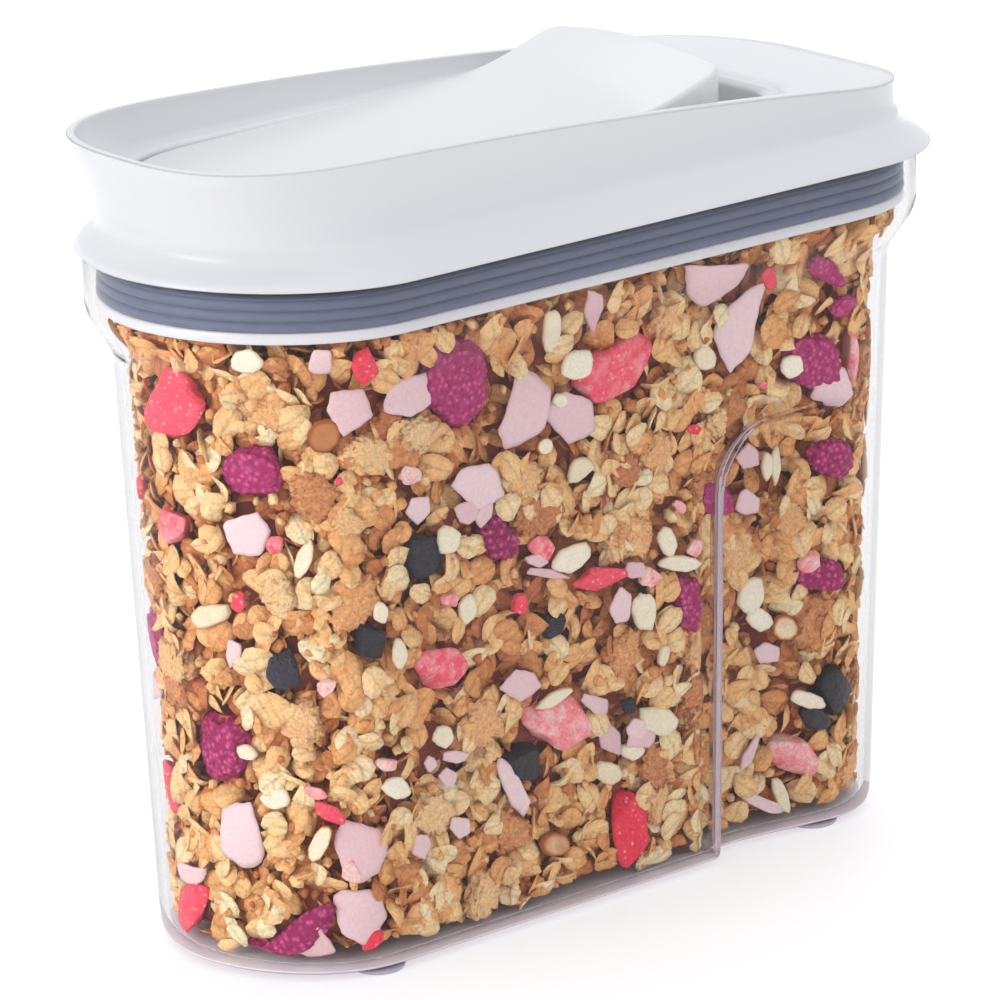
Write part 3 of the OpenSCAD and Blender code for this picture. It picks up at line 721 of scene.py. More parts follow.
def wrap(share, z, depth):
    """Carries points laid out flat onto the skin: share of the way round, height and depth
    inside, by linear interpolation between the skin's rows and columns."""
    col = (share % 1) * ROUND
    row = np.clip((z - FOOD_LOW) / (SKIN_TOP - FOOD_LOW), 0, 1) * (len(SKIN) - 1.001)
    i, j = row.astype(int), col.astype(int)
    a, b = (row - i)[..., None], (col - j)[..., None]
    j, k = j % ROUND, (j + 1) % ROUND

    def mean(grid):
        return (grid[i, j] * (1 - b) + grid[i, k] * b) * (1 - a) + \
            (grid[i + 1, j] * (1 - b) + grid[i + 1, k] * b) * a

    return mean(SKIN) + mean(INWARD) * depth[..., None]


def disc(rings, segments):
    """Flat closed lens as a template: unit radius and unit half thickness, the height falling with
    the root of 1 - radius^2. Returns its points and its faces."""
    r = np.linspace(0, 1, rings + 1)[1:]
    t = np.arange(segments) * 2 * np.pi / segments
    x, y = np.outer(r, np.cos(t)).ravel(), np.outer(r, np.sin(t)).ravel()
    top = np.column_stack([x, y, np.repeat(np.sqrt(1.02 - r ** 2), segments)])
    points = np.vstack([[0, 0, 1], top, [0, 0, -1], top * [1, 1, -1]])
    faces, half = [], rings * segments + 1
    for s in range(segments):
        n = (s + 1) % segments
        faces += [[0, 1 + s, 1 + n], [half, half + 1 + n, half + 1 + s]]
        for k in range(rings - 1):
            p, q = 1 + k * segments, 1 + (k + 1) * segments
            faces += [[p + s, q + s, q + n, p + n],
                      [half + p + s, half + p + n, half + q + n, half + q + s]]
        p = 1 + (rings - 1) * segments
        faces.append([p + s, half + p + s, half + p + n, p + n])
    return points, faces


def turned(points, spin, tilt, roll):
    """Turns each piece's points by roll about x, tilt about y and spin about z."""
    points = np.array(points)
    for angle, i, j in ((roll, 1, 2), (tilt, 2, 0), (spin, 0, 1)):
        c, s = np.cos(angle)[:, None], np.sin(angle)[:, None]
        p, q = points[..., i], points[..., j]
        points[..., i], points[..., j] = p * c - q * s, p * s + q * c
    return points


def lay(points, share, z, sink):
    """Lays turned pieces against the skin, each sunk so that its nearest point is sink deep."""
    depth = points[..., 2] - points[..., 2].min(1, keepdims=True) + sink[:, None]
    return wrap(share[:, None] + points[..., 0] / AROUND, z[:, None] + points[..., 1], depth)


def gather(name, batch, faces, tone, local, material):
    """Joins pieces of one kind into one mesh, with a tone for each piece and its own flat
    coordinates in millimetres as attributes of its points."""
    many, size = batch.shape[:2]
    lengths = np.array([len(f) for f in faces])
    one = np.concatenate([np.array(f) for f in faces])
    loops = (one[None] + size * np.arange(many)[:, None]).ravel()
    starts = np.r_[0, np.cumsum(np.tile(lengths, many))[:-1]]
    mesh = bpy.data.meshes.new(name)
    mesh.vertices.add(many * size)
    mesh.vertices.foreach_set("co", ((batch.reshape(-1, 3) + [SHIFT_X, 0, 0]) * MM).ravel())
    mesh.loops.add(len(loops))
    mesh.loops.foreach_set("vertex_index", loops)
    mesh.polygons.add(len(starts))
    mesh.polygons.foreach_set("loop_start", starts)
    mesh.polygons.foreach_set("use_smooth", np.ones(len(starts), bool))
    mesh.update(calc_edges=True)
    piece = bpy.data.objects.new(name, mesh)
    write_share(piece, "tone", (tone.reshape(many, -1) * np.ones(size)).ravel())
    flat = mesh.attributes.new("flat", "FLOAT_VECTOR", "POINT")
    apart = 7.31                       # shifts the streaks from one piece to the next
    shift = np.broadcast_to(np.arange(many)[:, None] * apart, local.shape[:2])
    flat.data.foreach_set("vector", np.stack([local[..., 0], local[..., 1], shift], -1).ravel())
    bpy.context.scene.collection.objects.link(piece)
    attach(piece, "container")
    finish_with(piece, material)


def even_spots(step, low, high, rng):
    """Places on the skin in a brick pattern of the given step, each moved at random by half a
    step, as shares of the way round and heights."""
    rows = int((high - low) / (step * 0.87))
    cols = int(AROUND / step)
    i, j = np.mgrid[0:rows, 0:cols]
    share = (j + 0.5 * (i % 2) + rng.uniform(-0.5, 0.5, i.shape)) / cols
    z = low + (i + 0.5 + rng.uniform(-0.5, 0.5, i.shape)) * (high - low) / rows
    return share.ravel() % 1, z.ravel()


def waves(share, z, scale, seed):
    """Soft pattern between 0 and 1: a sum of eight sine waves in random directions over the
    skin, whose shortest is scale millimetres long."""
    rng = np.random.default_rng(seed)
    total = 0
    for k in range(8):
        turns = max(1, round(AROUND / scale * rng.uniform(0.3, 1)))
        total = total + np.sin(2 * np.pi * (share * turns * rng.choice([-1, 1])
                                            + z / scale * rng.uniform(-1, 1)) + rng.uniform(0, 7))
    return np.clip(0.5 + total / 5.5, 0, 1)


OAT_LONG, OAT_THICK = (3.2, 4.9), (0.4, 0.6)   # half length and half thickness


def oat_batch(many, rng, tilt):
    """Rolled oat flakes: a lens with a wavy outline, cupped along its length by c x^2 and folded
    by f |y|, then turned at random. Returns points, faces and flat coordinates."""
    shape, faces = disc(2, 12)
    long = rng.uniform(*OAT_LONG, many)[:, None]
    wide = long * rng.uniform(0.66, 0.95, many)[:, None]
    angle = np.arctan2(shape[:, 1], shape[:, 0])[None]
    radius = np.hypot(shape[:, 0], shape[:, 1])[None]
    wavy = sum(size * np.cos(lobes * angle + rng.uniform(0, 7, (many, 1)))
               for lobes, size in ((2, 0.05), (3, 0.06), (5, 0.03)))
    edge = 1 + radius * wavy
    x, y = shape[None, :, 0] * long * edge, shape[None, :, 1] * wide * edge
    cup, fold, twist = (rng.normal(0, s, (many, 1)) for s in (0.05, 0.12, 0.04))
    curl = rng.normal(0, 0.2, (3, many, 1))
    h = shape[None, :, 2] * rng.uniform(*OAT_THICK, many)[:, None] + cup * x ** 2 \
        + fold * np.abs(y) + twist * x * y \
        + radius * (curl[0] * np.cos(3 * angle + 4 * curl[2]) + curl[1] * np.sin(2 * angle))
    flat = np.stack([x, y, h], -1)
    lean = rng.normal(0, tilt, (2, many))
    return turned(flat, rng.uniform(0, 2 * np.pi, many), lean[0], lean[1]), faces, flat


def clear_of_picks(share, z, near):
    """Those of the places that lie outside all the picked fruit, grown by near millimetres."""
    keep = np.ones(len(share), bool)
    for rows in PICKS.values():
        for s, h, long, wide, turn in rows:
            dx, dy = ((share - s + 0.5) % 1 - 0.5) * AROUND, z - h
            a = np.radians(turn)
            p, q = dx * np.cos(a) + dy * np.sin(a), dy * np.cos(a) - dx * np.sin(a)
            keep &= (p / (long + near)) ** 2 + (q / (wide + near)) ** 2 > 1
    return share[keep], z[keep]


def quarters(share):
    """Which part of the wall a place is on: nose, near side, back or far side."""
    return np.searchsorted([0.085, 0.40, 0.60, 0.915], share % 1) % 4


def oats(material):
    """The close-packed mass of flakes: a layer against the wall whose depth swells and ebbs, and a
    steeper layer behind it, painted darker for the shade that falls deeper in."""
    names = ("nose", "near", "back", "far")
    for layer, step, low_sink, swell, tilt, seed in (("front", 4.3, 0.0, 3.4, 0.42, 11),
                                                     ("behind", 4.9, 3.4, 3.0, 0.8, 12)):
        rng = np.random.default_rng(seed)
        share, z = even_spots(step, FOOD_LOW + 0.3, SKIN_TOP - 4, rng)
        if layer == "front":
            share, z = clear_of_picks(share, z, 1.6)
        many = len(share)
        points, faces, flat = oat_batch(many, rng, tilt=tilt)
        sink = low_sink + rng.exponential(0.5, many) + swell * waves(share, z, 15, 5) ** 2
        # painted shade: tone falls as the sink grows, so the deeper flakes are darker; the rest of
        # the tone differs at random and in slow waves
        tone = np.clip(0.62 - 0.13 * sink + rng.normal(0, 0.2, many)
                       + 0.25 * (waves(share, z, 24, 6) - 0.5), 0, 1)
        placed = lay(points, share, z, sink)
        for k, name in enumerate(names):
            on = quarters(share) == k
            gather(f"granola_oats_{layer}_{name}", placed[on], faces, tone[on], flat[on], material)


def crumbs(material):
    """Small crumbs of the clusters: rounded grains, knobbly by random moves of their points."""
    rng = np.random.default_rng(21)
    share, z = clear_of_picks(*even_spots(4.8, FOOD_LOW + 1.5, SKIN_TOP - 2, rng), 1.0)
    many = len(share)
    shape, faces = disc(2, 7)
    size = rng.uniform(1.0, 2.3, (many, 1, 1)) * [1, 0.85, 0.7]
    flat = shape[None] * size * rng.uniform(0.75, 1.25, (many, len(shape), 1))
    points = turned(flat, *rng.uniform(0, 2 * np.pi, (3, many)))
    sink = rng.uniform(0.2, 3.0, many) + 2.5 * waves(share, z, 15, 5) ** 2
    # painted shade: tone falls as the sink grows, so the deeper crumbs are darker; the rest differs
    # at random
    tone = np.clip(0.45 - 0.08 * sink + rng.normal(0, 0.22, many), 0, 1)
    gather("granola_crumbs", lay(points, share, z, sink), faces, tone, flat, material)


def clusters(material, many, seed):
    """Baked clusters: the lumps' shape at random places, with a fine crumbly surface."""
    rng = np.random.default_rng(seed)
    share, z = rng.uniform(0, 1, many * 2), rng.uniform(FOOD_LOW + 7, SKIN_TOP - 8, many * 2)
    share, z = (v[:many] for v in clear_of_picks(share, z, 4.5))
    size = rng.uniform(4.5, 8.5, len(share))
    rows = np.column_stack([share, z, size, size * rng.uniform(0.6, 0.9, len(share)),
                            rng.uniform(0, 180, len(share))])
    lumps("clusters", rows, material, 0.8, (0.22, 6), seed, rough=0.12, sunk=1.0, grid=(20, 40))


def top_layer(material):
    """Flakes over the top of the heap: places in a brick pattern over the opening, at heights
    that fall a little towards the wall."""
    rng = np.random.default_rng(31)
    x, y = np.meshgrid(np.arange(-113, 116, 4.2), np.arange(-48, 49, 4.0))
    x, y = (v.ravel() + rng.uniform(-2, 2, v.size) for v in (x, y))
    front, back = SKIN[-8, :, 0].min(), SKIN[-8, :, 0].max()
    side, nose, corner = SKIN[-8, :, 1].max() - 4, 60, 34
    from_tip = np.clip((x - front) / nose, 0.02, 1)
    half = side * np.sqrt(1 - (1 - from_tip) ** 2)
    past = np.maximum(x - (back - corner), 0)
    round_half = side - corner + np.sqrt(np.maximum(corner ** 2 - past ** 2, 0))
    keep = (np.abs(y) < np.minimum(half, round_half) - 3) & (x > front + 7) & (x < back - 6)
    x, y = x[keep], y[keep]
    points, faces, flat = oat_batch(len(x), rng, tilt=0.5)
    drop = rng.exponential(1.2, (len(x), 1))
    points[..., 2] += -points[..., 2].max(1, keepdims=True) + SKIN_TOP - drop
    placed = points + np.column_stack([x, y, 0 * x])[:, None]
    tone = np.clip(rng.normal(0.55, 0.2, len(x)), 0, 1)
    gather("granola_oats_top", placed, faces, tone, flat, material)


def heap(material):
    """The mass behind the flakes: the skin at a depth of 6 to 9 mm, closed over at the top and
    along the floor."""
    share, z = np.meshgrid(np.linspace(0, 1, 320, endpoint=False),
                           np.linspace(FOOD_LOW, SKIN_TOP - 11, 84))
    rng = np.random.default_rng(3)
    depth = 6 + 3 * waves(share, z, 12, 8) + rng.uniform(-0.5, 0.5, share.shape)
    depth[0] = depth[-1] = 9
    rings = wrap(share, z, depth)
    middle = rings.mean(1, keepdims=True) * [1, 0, 1]
    low = [middle[:1] + (rings[:1] - middle[:1]) * f for f in (0.02, 0.5)]
    high = [middle[-1:] + (rings[-1:] - middle[-1:]) * f for f in (0.75, 0.5, 0.25, 0.02)]
    piece = make_piece("granola_heap", np.concatenate([*low, rings, *high]), "container")
    # its dark brown is the granola's own colour deepened by painted shade, for the gaps between the
    # flakes
    finish_with(piece, material)


PLATE_LONGEST = 11.5                   # half length


def plates(kind, rows, material, corners, thick, seed, round_off, rim=0.0):
    """Thin slices on picked places: an outline of a few straight sides, its radius the least of
    1 / cos of the angle to each side's middle, drawn towards a circle by round_off and bowed
    gently. rim darkens the tone at the outline."""
    rng = np.random.default_rng(seed)
    shape, faces = disc(6, 44)
    rows = np.array(rows, float)
    rows[:, 2] = np.minimum(rows[:, 2], PLATE_LONGEST)
    many = len(rows)
    angle = np.arctan2(shape[:, 1], shape[:, 0])[None]
    reach = np.full((many, len(shape)), 9.0)
    for k in range(corners):
        side = 2 * np.pi * (k + rng.uniform(-0.35, 0.35, (many, 1))) / corners
        far = rng.uniform(0.7, 1.0, (many, 1))
        reach = np.minimum(reach, far / np.maximum(np.cos(angle - side), 0.05))
    reach = np.minimum(reach, 1.2) * (1 - round_off) + 0.95 * round_off
    reach = reach * (1 + 0.02 * np.sin(9 * angle + rng.uniform(0, 7, (many, 1))))
    x, y = shape[None, :, 0] * reach * rows[:, 2:3], shape[None, :, 1] * reach * rows[:, 3:4]
    level = np.sign(shape[None, :, 2]) * np.minimum(np.abs(shape[None, :, 2]) * 2.5, 1) * thick / 2
    bow, twist = rng.normal(0, 0.012, (many, 1)), rng.normal(0, 0.012, (many, 1))
    flat = np.stack([x, y, level + bow * x ** 2 + twist * x * y], -1)
    lean = rng.normal(0, 0.1, (2, many))
    points = turned(flat, np.radians(rows[:, 4]), lean[0], lean[1])
    from_rim = smooth((np.hypot(*shape[:, :2].T)[None] - 0.78) / 0.2)
    tone = rng.uniform(0.2, 1, (many, 1)) - rim * from_rim
    gather(f"granola_{kind}", lay(points, rows[:, 0], rows[:, 1], rng.uniform(0, 0.5, many)), faces,
           tone, flat, material)


def lumps(kind, rows, material, deep, knobs, seed, rough, sunk=0.5, cuts=0, grid=(20, 36)):
    """Rounded pieces on picked places: an ellipsoid on a grid of latitude and longitude, swollen
    by low waves, knobbly by knobs = (height, count) of rounded bumps in a brick pattern, and
    roughened. cuts trims it with planes, and the wall flattens it."""
    rng = np.random.default_rng(seed)
    rows = np.array(rows, float)
    many, (lat, lon) = len(rows), grid
    v = np.linspace(0, np.pi, lat + 1)[1:-1]
    u = np.linspace(0, 2 * np.pi, lon, endpoint=False)
    vv, uu = (g.ravel() for g in np.meshgrid(v, u, indexing="ij"))
    vv, uu = np.r_[vv, 0, np.pi], np.r_[uu, 0, 0]
    unit = np.column_stack([np.sin(vv) * np.cos(uu), np.sin(vv) * np.sin(uu), np.cos(vv)])
    n = (lat - 1) * lon
    faces = [[r + c, r + lon + c, r + lon + (c + 1) % lon, r + (c + 1) % lon]
             for r in range(0, n - lon, lon) for c in range(lon)]
    faces += [[n, c, (c + 1) % lon] for c in range(lon)]
    faces += [[n + 1, n - lon + (c + 1) % lon, n - lon + c] for c in range(lon)]
    height, count = knobs
    phase = rng.uniform(0, 7, (8, many, 1))
    along = np.sin(count * vv[None] + phase[0])
    around = np.sin(count * uu[None] + (count * vv[None] // np.pi) * 1.6)
    bump = 1 + height * np.sin(vv) * (np.abs(along * around) ** 0.6 - 0.5)
    for k, amount in enumerate((0.12, 0.1, 0.08, 0.05)):
        bump += amount * np.sin((k + 2) * uu + phase[k + 1]) * np.sin(vv) ** 2 \
            * np.cos((k + 1) * vv + phase[k + 4])
    bump += rough * rng.normal(0, 1, (many, len(vv))) * np.sin(vv) ** 0.5
    bump[:, -2:] = bump[:, :-2].mean(1, keepdims=True)
    shape = unit[None] * bump[..., None]
    for _ in range(cuts):
        way = rng.normal(0, 1, (many, 1, 3)) * [1, 1, 0.5]
        way /= np.linalg.norm(way, axis=2, keepdims=True)
        reach = (shape * way).sum(2, keepdims=True)
        over = np.maximum(reach - rng.uniform(0.5, 0.85, (many, 1, 1)), 0)
        shape = shape - 0.9 * over * way
    across = np.minimum(rows[:, 2], rows[:, 3]) * deep
    flat = shape * np.stack([rows[:, 2], rows[:, 3], across], -1)[:, None]
    press, deep_z = -0.5 * across[:, None], flat[..., 2]
    flat[..., 2] = np.where(deep_z < press, press + (deep_z - press) * 0.2, deep_z)
    tilt, roll = rng.normal(0, 0.1, many), rng.normal(0, 0.1, many)
    points = turned(flat, np.radians(rows[:, 4]), tilt, roll)
    placed = lay(points, rows[:, 0], rows[:, 1], rng.uniform(0, sunk, many))
    gather(f"granola_{kind}", placed, faces, rng.uniform(0, 1, (many, 1)), flat, material)


def scattered(kinds, seed):
    """Places for the same fruit on the sides that the picked ones leave out, at random."""
    rng = np.random.default_rng(seed)
    out = {}
    for kind, (many, long, wide) in kinds.items():
        share, z = rng.uniform(0.43, 0.975, many), rng.uniform(FOOD_LOW + 8, SKIN_TOP - 9, many)
        a, b = rng.uniform(*long, many), rng.uniform(*wide, many)
        out[kind] = np.column_stack([share, z, np.maximum(a, b), np.minimum(a, b),
                                     rng.uniform(0, 180, many)]).tolist()
    return out


# Each row: share of the way round from the tip of the nose, height, half length, half width and
# turn in degrees.
PICKS = {
    "strawberry": [
        (0.000, 148.5, 14.2, 8.1, 14), (0.107, 161.5, 5.3, 3.7, 82), (0.256, 142.5, 13.7, 8.8, 171),
        (0.999, 116.5, 6.9, 4.9, 39), (0.242, 88.5, 8.6, 3.5, 173), (0.144, 76.5, 9.1, 6.4, 154),
        (0.216, 52.5, 10.7, 7.4, 150), (0.986, 11.5, 13.6, 6.5, 46), (0.261, 16.5, 11.0, 6.4, 100),
        (0.382, 21.5, 8.5, 6.3, 146), (0.205, 101.5, 4.8, 3.1, 159), (0.384, 75.5, 4.2, 3.2, 152),
        (0.077, 44.5, 4.9, 2.6, 138), (0.085, 28.5, 3.5, 2.6, 137), (0.095, 9.5, 4.3, 3.0, 36),
        (0.412, 129.5, 9.1, 5.1, 129)],
    "raspberry": [
        (0.048, 134.5, 8.1, 6.4, 13), (0.158, 150.5, 11.6, 9.6, 140), (0.378, 131.5, 9.9, 7.1, 134),
        (0.180, 106.5, 6.1, 5.0, 131), (0.300, 74.5, 8.1, 6.2, 114), (0.019, 59.5, 9.9, 8.5, 51),
        (0.047, 6.5, 18.6, 4.5, 36), (0.398, 102.5, 8.8, 5.1, 163), (0.393, 70.5, 8.4, 4.1, 165),
        (0.327, 98.5, 6.9, 4.4, 158), (0.381, 155.5, 7.6, 2.4, 149), (0.397, 144.5, 5.5, 2.9, 164)],
    "blueberry": [
        (0.058, 82.5, 5.4, 4.7, 71), (0.101, 88.5, 5.9, 5.1, 130), (0.135, 107.5, 6.5, 5.3, 124),
        (0.212, 79.5, 4.1, 3.3, 127), (0.193, 44.5, 6.9, 5.3, 141), (0.406, 36.5, 8.2, 6.8, 128),
        (0.393, 30.5, 4.7, 3.2, 154), (0.259, 51.5, 3.2, 2.1, 155)],
    "shard": [
        (0.096, 150.5, 6.6, 6.0, 147), (0.087, 164.5, 4.1, 2.8, 61), (0.131, 150.5, 9.3, 5.4, 1),
        (0.197, 138.5, 12.5, 7.4, 61), (0.224, 134.5, 8.6, 6.5, 152), (0.167, 122.5, 8.3, 5.6, 147),
        (0.133, 120.5, 4.3, 4.0, 162), (0.232, 162.5, 7.1, 2.7, 112), (0.331, 145.5, 12.4, 6.4, 64),
        (0.306, 160.5, 18.1, 5.4, 167), (0.394, 122.5, 7.8, 5.6, 162), (0.046, 118.5, 7.0, 5.8, 47),
        (0.033, 86.5, 4.3, 2.5, 81), (0.160, 116.5, 4.6, 3.3, 177), (0.171, 114.5, 4.3, 3.0, 59),
        (0.202, 98.5, 4.4, 1.8, 165), (0.206, 94.5, 8.3, 1.3, 159), (0.261, 88.5, 3.6, 2.6, 152),
        (0.253, 79.5, 5.2, 4.2, 134), (0.190, 66.5, 6.5, 4.1, 157), (0.238, 54.5, 7.6, 2.3, 148),
        (0.345, 108.5, 4.2, 3.3, 144), (0.347, 95.5, 4.2, 3.3, 142), (0.361, 52.5, 4.4, 3.4, 145),
        (0.030, 37.5, 9.9, 5.9, 90), (0.090, 34.5, 9.2, 7.1, 129), (0.992, 22.5, 9.5, 2.6, 12),
        (0.090, 15.5, 8.4, 7.1, 168), (0.064, 8.5, 6.6, 5.8, 86), (0.186, 38.5, 9.0, 2.9, 113),
        (0.151, 32.5, 4.2, 3.1, 147), (0.127, 30.5, 4.3, 3.1, 106), (0.148, 52.5, 4.4, 1.7, 175),
        (0.133, 52.5, 2.4, 1.8, 148), (0.144, 47.5, 3.1, 2.3, 148), (0.353, 25.5, 5.7, 1.8, 57),
        (0.366, 8.5, 12.4, 1.7, 150), (0.268, 42.5, 6.1, 4.8, 161), (0.264, 44.5, 3.7, 2.6, 149),
        (0.247, 43.5, 4.5, 3.4, 120)],
    "chip": [
        (0.055, 164.5, 4.3, 3.1, 33), (0.228, 147.5, 5.0, 4.3, 3), (0.217, 139.5, 2.6, 1.9, 155),
        (0.211, 158.5, 6.2, 2.9, 102), (0.229, 119.5, 4.6, 3.7, 20), (0.307, 140.5, 3.9, 3.2, 118),
        (0.362, 132.5, 4.3, 3.1, 156), (0.020, 95.5, 6.9, 3.0, 20), (0.107, 96.5, 3.0, 2.3, 105),
        (0.148, 110.5, 4.3, 3.6, 127), (0.117, 84.5, 4.0, 2.5, 95), (0.159, 90.5, 4.8, 2.9, 95),
        (0.224, 96.5, 7.2, 4.2, 178), (0.212, 59.5, 5.4, 1.9, 21), (0.265, 76.5, 5.2, 2.0, 92),
        (0.282, 93.5, 4.6, 2.7, 118), (0.291, 86.5, 7.4, 2.4, 166), (0.268, 76.5, 5.4, 3.9, 107),
        (0.351, 69.5, 5.5, 4.4, 73), (0.356, 62.5, 4.8, 3.1, 146), (0.050, 48.5, 4.0, 2.9, 13),
        (0.113, 48.5, 4.4, 3.3, 148), (0.246, 34.5, 5.1, 3.4, 152), (0.261, 38.5, 4.7, 2.4, 160),
        (0.279, 44.5, 8.1, 3.9, 156), (0.387, 36.5, 6.4, 2.4, 157), (0.374, 10.5, 5.7, 2.2, 110),
        (0.362, 104.5, 5.8, 1.5, 92), (0.357, 104.5, 4.1, 1.9, 94), (0.281, 62.5, 3.6, 2.0, 97),
        (0.037, 60.5, 3.2, 2.2, 176), (0.142, 58.5, 4.1, 2.8, 153)],
    "almond": [
        (0.084, 144.5, 4.9, 4.4, 43), (0.071, 112.5, 6.0, 2.2, 68), (0.071, 36.5, 5.9, 2.5, 60),
        (0.208, 128.5, 3.4, 2.3, 159), (0.211, 19.5, 6.0, 3.4, 157), (0.371, 58.5, 5.0, 3.7, 150)],
    "red_bit": [
        (0.090, 132.5, 1.1, 1.0, 124), (0.128, 130.5, 4.2, 2.5, 162), (0.058, 116.5, 3.1, 2.0, 82),
        (0.038, 100.5, 2.7, 1.9, 78), (0.078, 78.5, 3.2, 2.1, 19), (0.148, 94.5, 3.3, 1.8, 162),
        (0.190, 88.5, 3.1, 2.5, 116), (0.343, 157.5, 6.3, 1.7, 144), (0.299, 122.5, 2.4, 1.3, 163),
        (0.289, 102.5, 2.2, 1.8, 141), (0.271, 85.5, 3.9, 2.6, 156), (0.302, 89.5, 3.9, 2.4, 160),
        (0.108, 55.5, 3.5, 2.1, 160), (0.070, 50.5, 3.3, 1.6, 156), (0.343, 129.5, 1.4, 1.0, 156)],
}


# ---------- camera, floor and light ----------

def place_camera():
    """Long lens, from above the near side's spout end. The view leans by a degree and a half."""
    azimuth, height, lean = np.radians([-38.96, 17.54, -1.6])
    target = np.array([-2.55, -0.34, 100.82])
    back = np.array([np.sin(azimuth) * np.cos(height), -np.cos(azimuth) * np.cos(height),
                     np.sin(height)])
    right = np.array([np.cos(azimuth), np.sin(azimuth), 0])
    up = np.cross(back, right)
    right, up = (right * np.cos(lean) + up * np.sin(lean),
                 up * np.cos(lean) - right * np.sin(lean))
    data = bpy.data.cameras.new("camera")
    data.sensor_width = 36
    data.lens = 6.078 * data.sensor_width
    data.clip_start, data.clip_end = 0.05, 50
    camera = bpy.data.objects.new("camera", data)
    turn = Matrix(np.column_stack([right, up, back]).tolist()).to_4x4()
    distance = 1579
    camera.matrix_world = Matrix.Translation(Vector((target + back * distance) * MM)) @ turn
    bpy.context.scene.collection.objects.link(camera)
    bpy.context.scene.camera = camera


def soft_light(name, place, size, watts):
    """A square area light that faces the object's middle."""
    data = bpy.data.lights.new(name, "AREA")
    data.size, data.energy = size, watts
    lamp = bpy.data.objects.new(name, data)
    lamp.location = place
    way = Vector((0, 0, 0.1)) - Vector(place)
    lamp.rotation_euler = way.to_track_quat("-Z", "Y").to_euler()
    bpy.context.scene.collection.objects.link(lamp)


def studio():
    """Pale floor, white surroundings and three soft lights."""
    half = 6.0
    mesh = bpy.data.meshes.new("floor")
    corners = [(-half, -half, 0), (half, -half, 0), (half, half, 0), (-half, half, 0)]
    mesh.from_pydata(corners, [], [(0, 1, 2, 3)])
    floor = bpy.data.objects.new("floor", mesh)
    bpy.context.scene.collection.objects.link(floor)
    m, shader, *_ = new_material("pale_floor")
    set_sockets(shader, Base_Color=(0.55, 0.55, 0.56), Roughness=0.6,
                Emission_Color=(1.0, 1.0, 1.0), Emission_Strength=0.52)
    finish_with(floor, m)
    world = bpy.data.worlds.new("surroundings")
    bpy.context.scene.world = world
    world.use_nodes = True
    set_sockets(world.node_tree.nodes["Background"], Color=(0.95, 0.96, 1.0), Strength=1.03)
    soft_light("key_light", (-1.6, 0.1, 0.6), 0.8, 6.6)
    soft_light("top_light", (-0.1, 0.1, 1.8), 1.2, 2.4)
    soft_light("back_light", (0.5, 0.9, 1.5), 1.0, 3.1)
    bpy.context.scene.view_settings.view_transform = "Standard"


# ---------- the object ----------

place_camera()
studio()

white_plug = moulded_white("plug_white", (0.72, 0.72, 0.735), 0.3)
fold_lilac = moulded_white("fold_lilac", (0.78, 0.69, 0.72), 0.3)
steel = drawn_steel("pin_steel")

body = container_body()
finish_with(body, clear_plastic("body_clear"))
body.visible_shadow = False
# painted reflection: the pale lilac heart of the base stands for the light that the thick base
# gathers
finish_with(base_core(), moulded_white("base_reflection_lilac", (0.84, 0.77, 0.82), 0.3))
for fold in grip_folds():
    finish_with(fold, fold_lilac)
finish_with(container_feet(), moulded_white("feet_lilac", (0.42, 0.37, 0.43), 0.25))
finish_with(lid_shell(), moulded_white("shell_white", (0.665, 0.665, 0.675), 0.2))
finish_with(lid_plug(), white_plug)
finish_with(lid_gasket(), soft_rubber("gasket_slate", (0.135, 0.152, 0.228)))
finish_with(cap_top(), moulded_white("cap_white", (0.665, 0.665, 0.672), 0.22))
finish_with(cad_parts["cap_base"], white_plug)
finish_with(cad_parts["cap_seal"], soft_rubber("seal_grey", (0.42, 0.43, 0.47)))
for pin in ("hinge_pin_near", "hinge_pin_far"):
    finish_with(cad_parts[pin], steel)

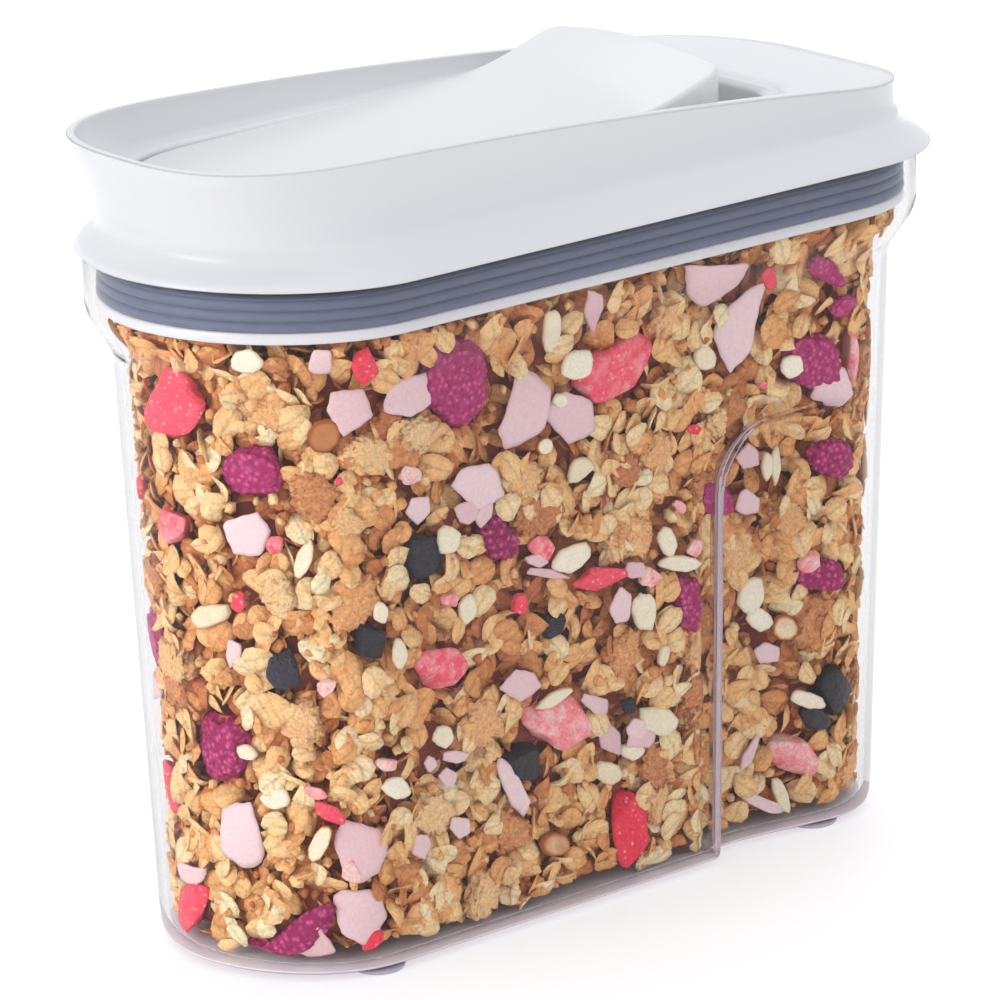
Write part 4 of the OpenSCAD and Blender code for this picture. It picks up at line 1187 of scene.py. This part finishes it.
# Each food: its ramp's stops, grain, streak and bump, and what differs from the usual.
FINISHES = {
    "oat_gold": ([(0, (0.62, 0.21, 0.07)), (0.3, (0.92, 0.45, 0.165)), (0.6, (1.0, 0.65, 0.30)),
                  (1, (1.0, 0.84, 0.53))], 0.5, 0.45, 0.8, {"crease": 0.22}),
    "cluster_gold": ([(0, (0.58, 0.19, 0.07)), (0.5, (0.94, 0.45, 0.185)),
                      (1, (1.0, 0.67, 0.34))], 0.9, 1.0, 1.0, {}),
    # heap: the granola's own brown, kept darker than the flakes as painted shade for the gaps
    # between them
    "heap_shaded_brown": ([(0, (0.30, 0.06, 0.035)), (0.5, (0.43, 0.115, 0.055)),
                    (1, (0.62, 0.25, 0.11))], 0.5, 0.5, 0.5, {}),
    "strawberry_red": ([(0, (0.92, 0.035, 0.08)), (0.55, (0.98, 0.11, 0.17)),
                        (0.8, (1.0, 0.36, 0.38)), (1, (1.0, 0.66, 0.60))], 0.9, 0.28, 0.6,
                       {"spots": (520.0, 0.3, (0.96, 0.55, 0.42))}),
    # raspberry: its spots are painted highlights, lighter at the middle of each drupelet
    "raspberry_red": ([(0, (0.22, 0.008, 0.06)), (0.6, (0.38, 0.018, 0.12)),
                       (1, (0.52, 0.045, 0.19))], 0.8, 0.5, 0.6,
                      {"spots": (620.0, 0.62, (0.72, 0.11, 0.31))}),
    "berry_black": ([(0, (0.016, 0.014, 0.02)), (0.5, (0.03, 0.027, 0.036)),
                     (1, (0.07, 0.06, 0.085))], 0.7, 0.6, 1.2, {"rough": (0.3, 0.55)}),
    "shard_lilac": ([(0, (0.70, 0.42, 0.44)), (0.5, (0.80, 0.54, 0.56)),
                     (1, (0.88, 0.67, 0.68))], 0.1, 0.12, 0.05,
                    {"rough": (0.35, 0.5), "speck": 0.05}),
    "chip_cream": ([(0, (0.66, 0.46, 0.26)), (0.35, (0.86, 0.74, 0.52)),
                    (1, (0.94, 0.86, 0.68))], 0.25, 0.2, 0.15,
                   {"rough": (0.4, 0.6), "speck": 0.08}),
    "nut_cream": ([(0, (0.36, 0.10, 0.03)), (0.35, (0.62, 0.26, 0.10)), (0.55, (0.92, 0.74, 0.48)),
                   (1, (0.96, 0.84, 0.62))], 0.2, 0.3, 0.2, {"speck": 0.1}),
}
SKIN, INWARD, AROUND = food_skin()
food = {name: food_finish(name, *row[:-1], **row[-1]) for name, row in FINISHES.items()}

more = scattered({"strawberry": (18, (4, 11), (4, 8)), "raspberry": (12, (6, 10), (5, 8)),
                  "blueberry": (8, (4, 7), (4, 6)), "shard": (46, (4, 11), (2.5, 6)),
                  "chip": (40, (3, 6), (2, 4)), "almond": (12, (4, 6), (2.5, 4)),
                  "red_bit": (22, (1.5, 4), (1, 3))}, 77)
for kind in PICKS:
    PICKS[kind] = PICKS[kind] + more[kind]
oats(food["oat_gold"])
crumbs(food["oat_gold"])
top_layer(food["oat_gold"])
heap(food["heap_shaded_brown"])
clusters(food["cluster_gold"], 110, 8)
lumps("strawberries", PICKS["strawberry"], food["strawberry_red"], 0.6, (0.0, 6), 1,
      rough=0.012, cuts=4)
lumps("raspberries", PICKS["raspberry"], food["raspberry_red"], 0.9, (0.16, 7), 2,
      rough=0.015, grid=(36, 66))
lumps("blueberries", PICKS["blueberry"], food["berry_black"], 0.9, (0.05, 3), 3,
      rough=0.015, cuts=2)
lumps("fruit_bits", PICKS["red_bit"], food["strawberry_red"], 0.6, (0.1, 4), 4,
      rough=0.03, cuts=3)
plates("shards", PICKS["shard"], food["shard_lilac"], 5, 0.9, seed=5, round_off=0.15)
plates("chips", PICKS["chip"], food["chip_cream"], 5, 1.5, seed=6, round_off=0.5, rim=0.25)
plates("almonds", PICKS["almond"], food["nut_cream"], 7, 1.6, seed=7, round_off=0.7, rim=0.9)
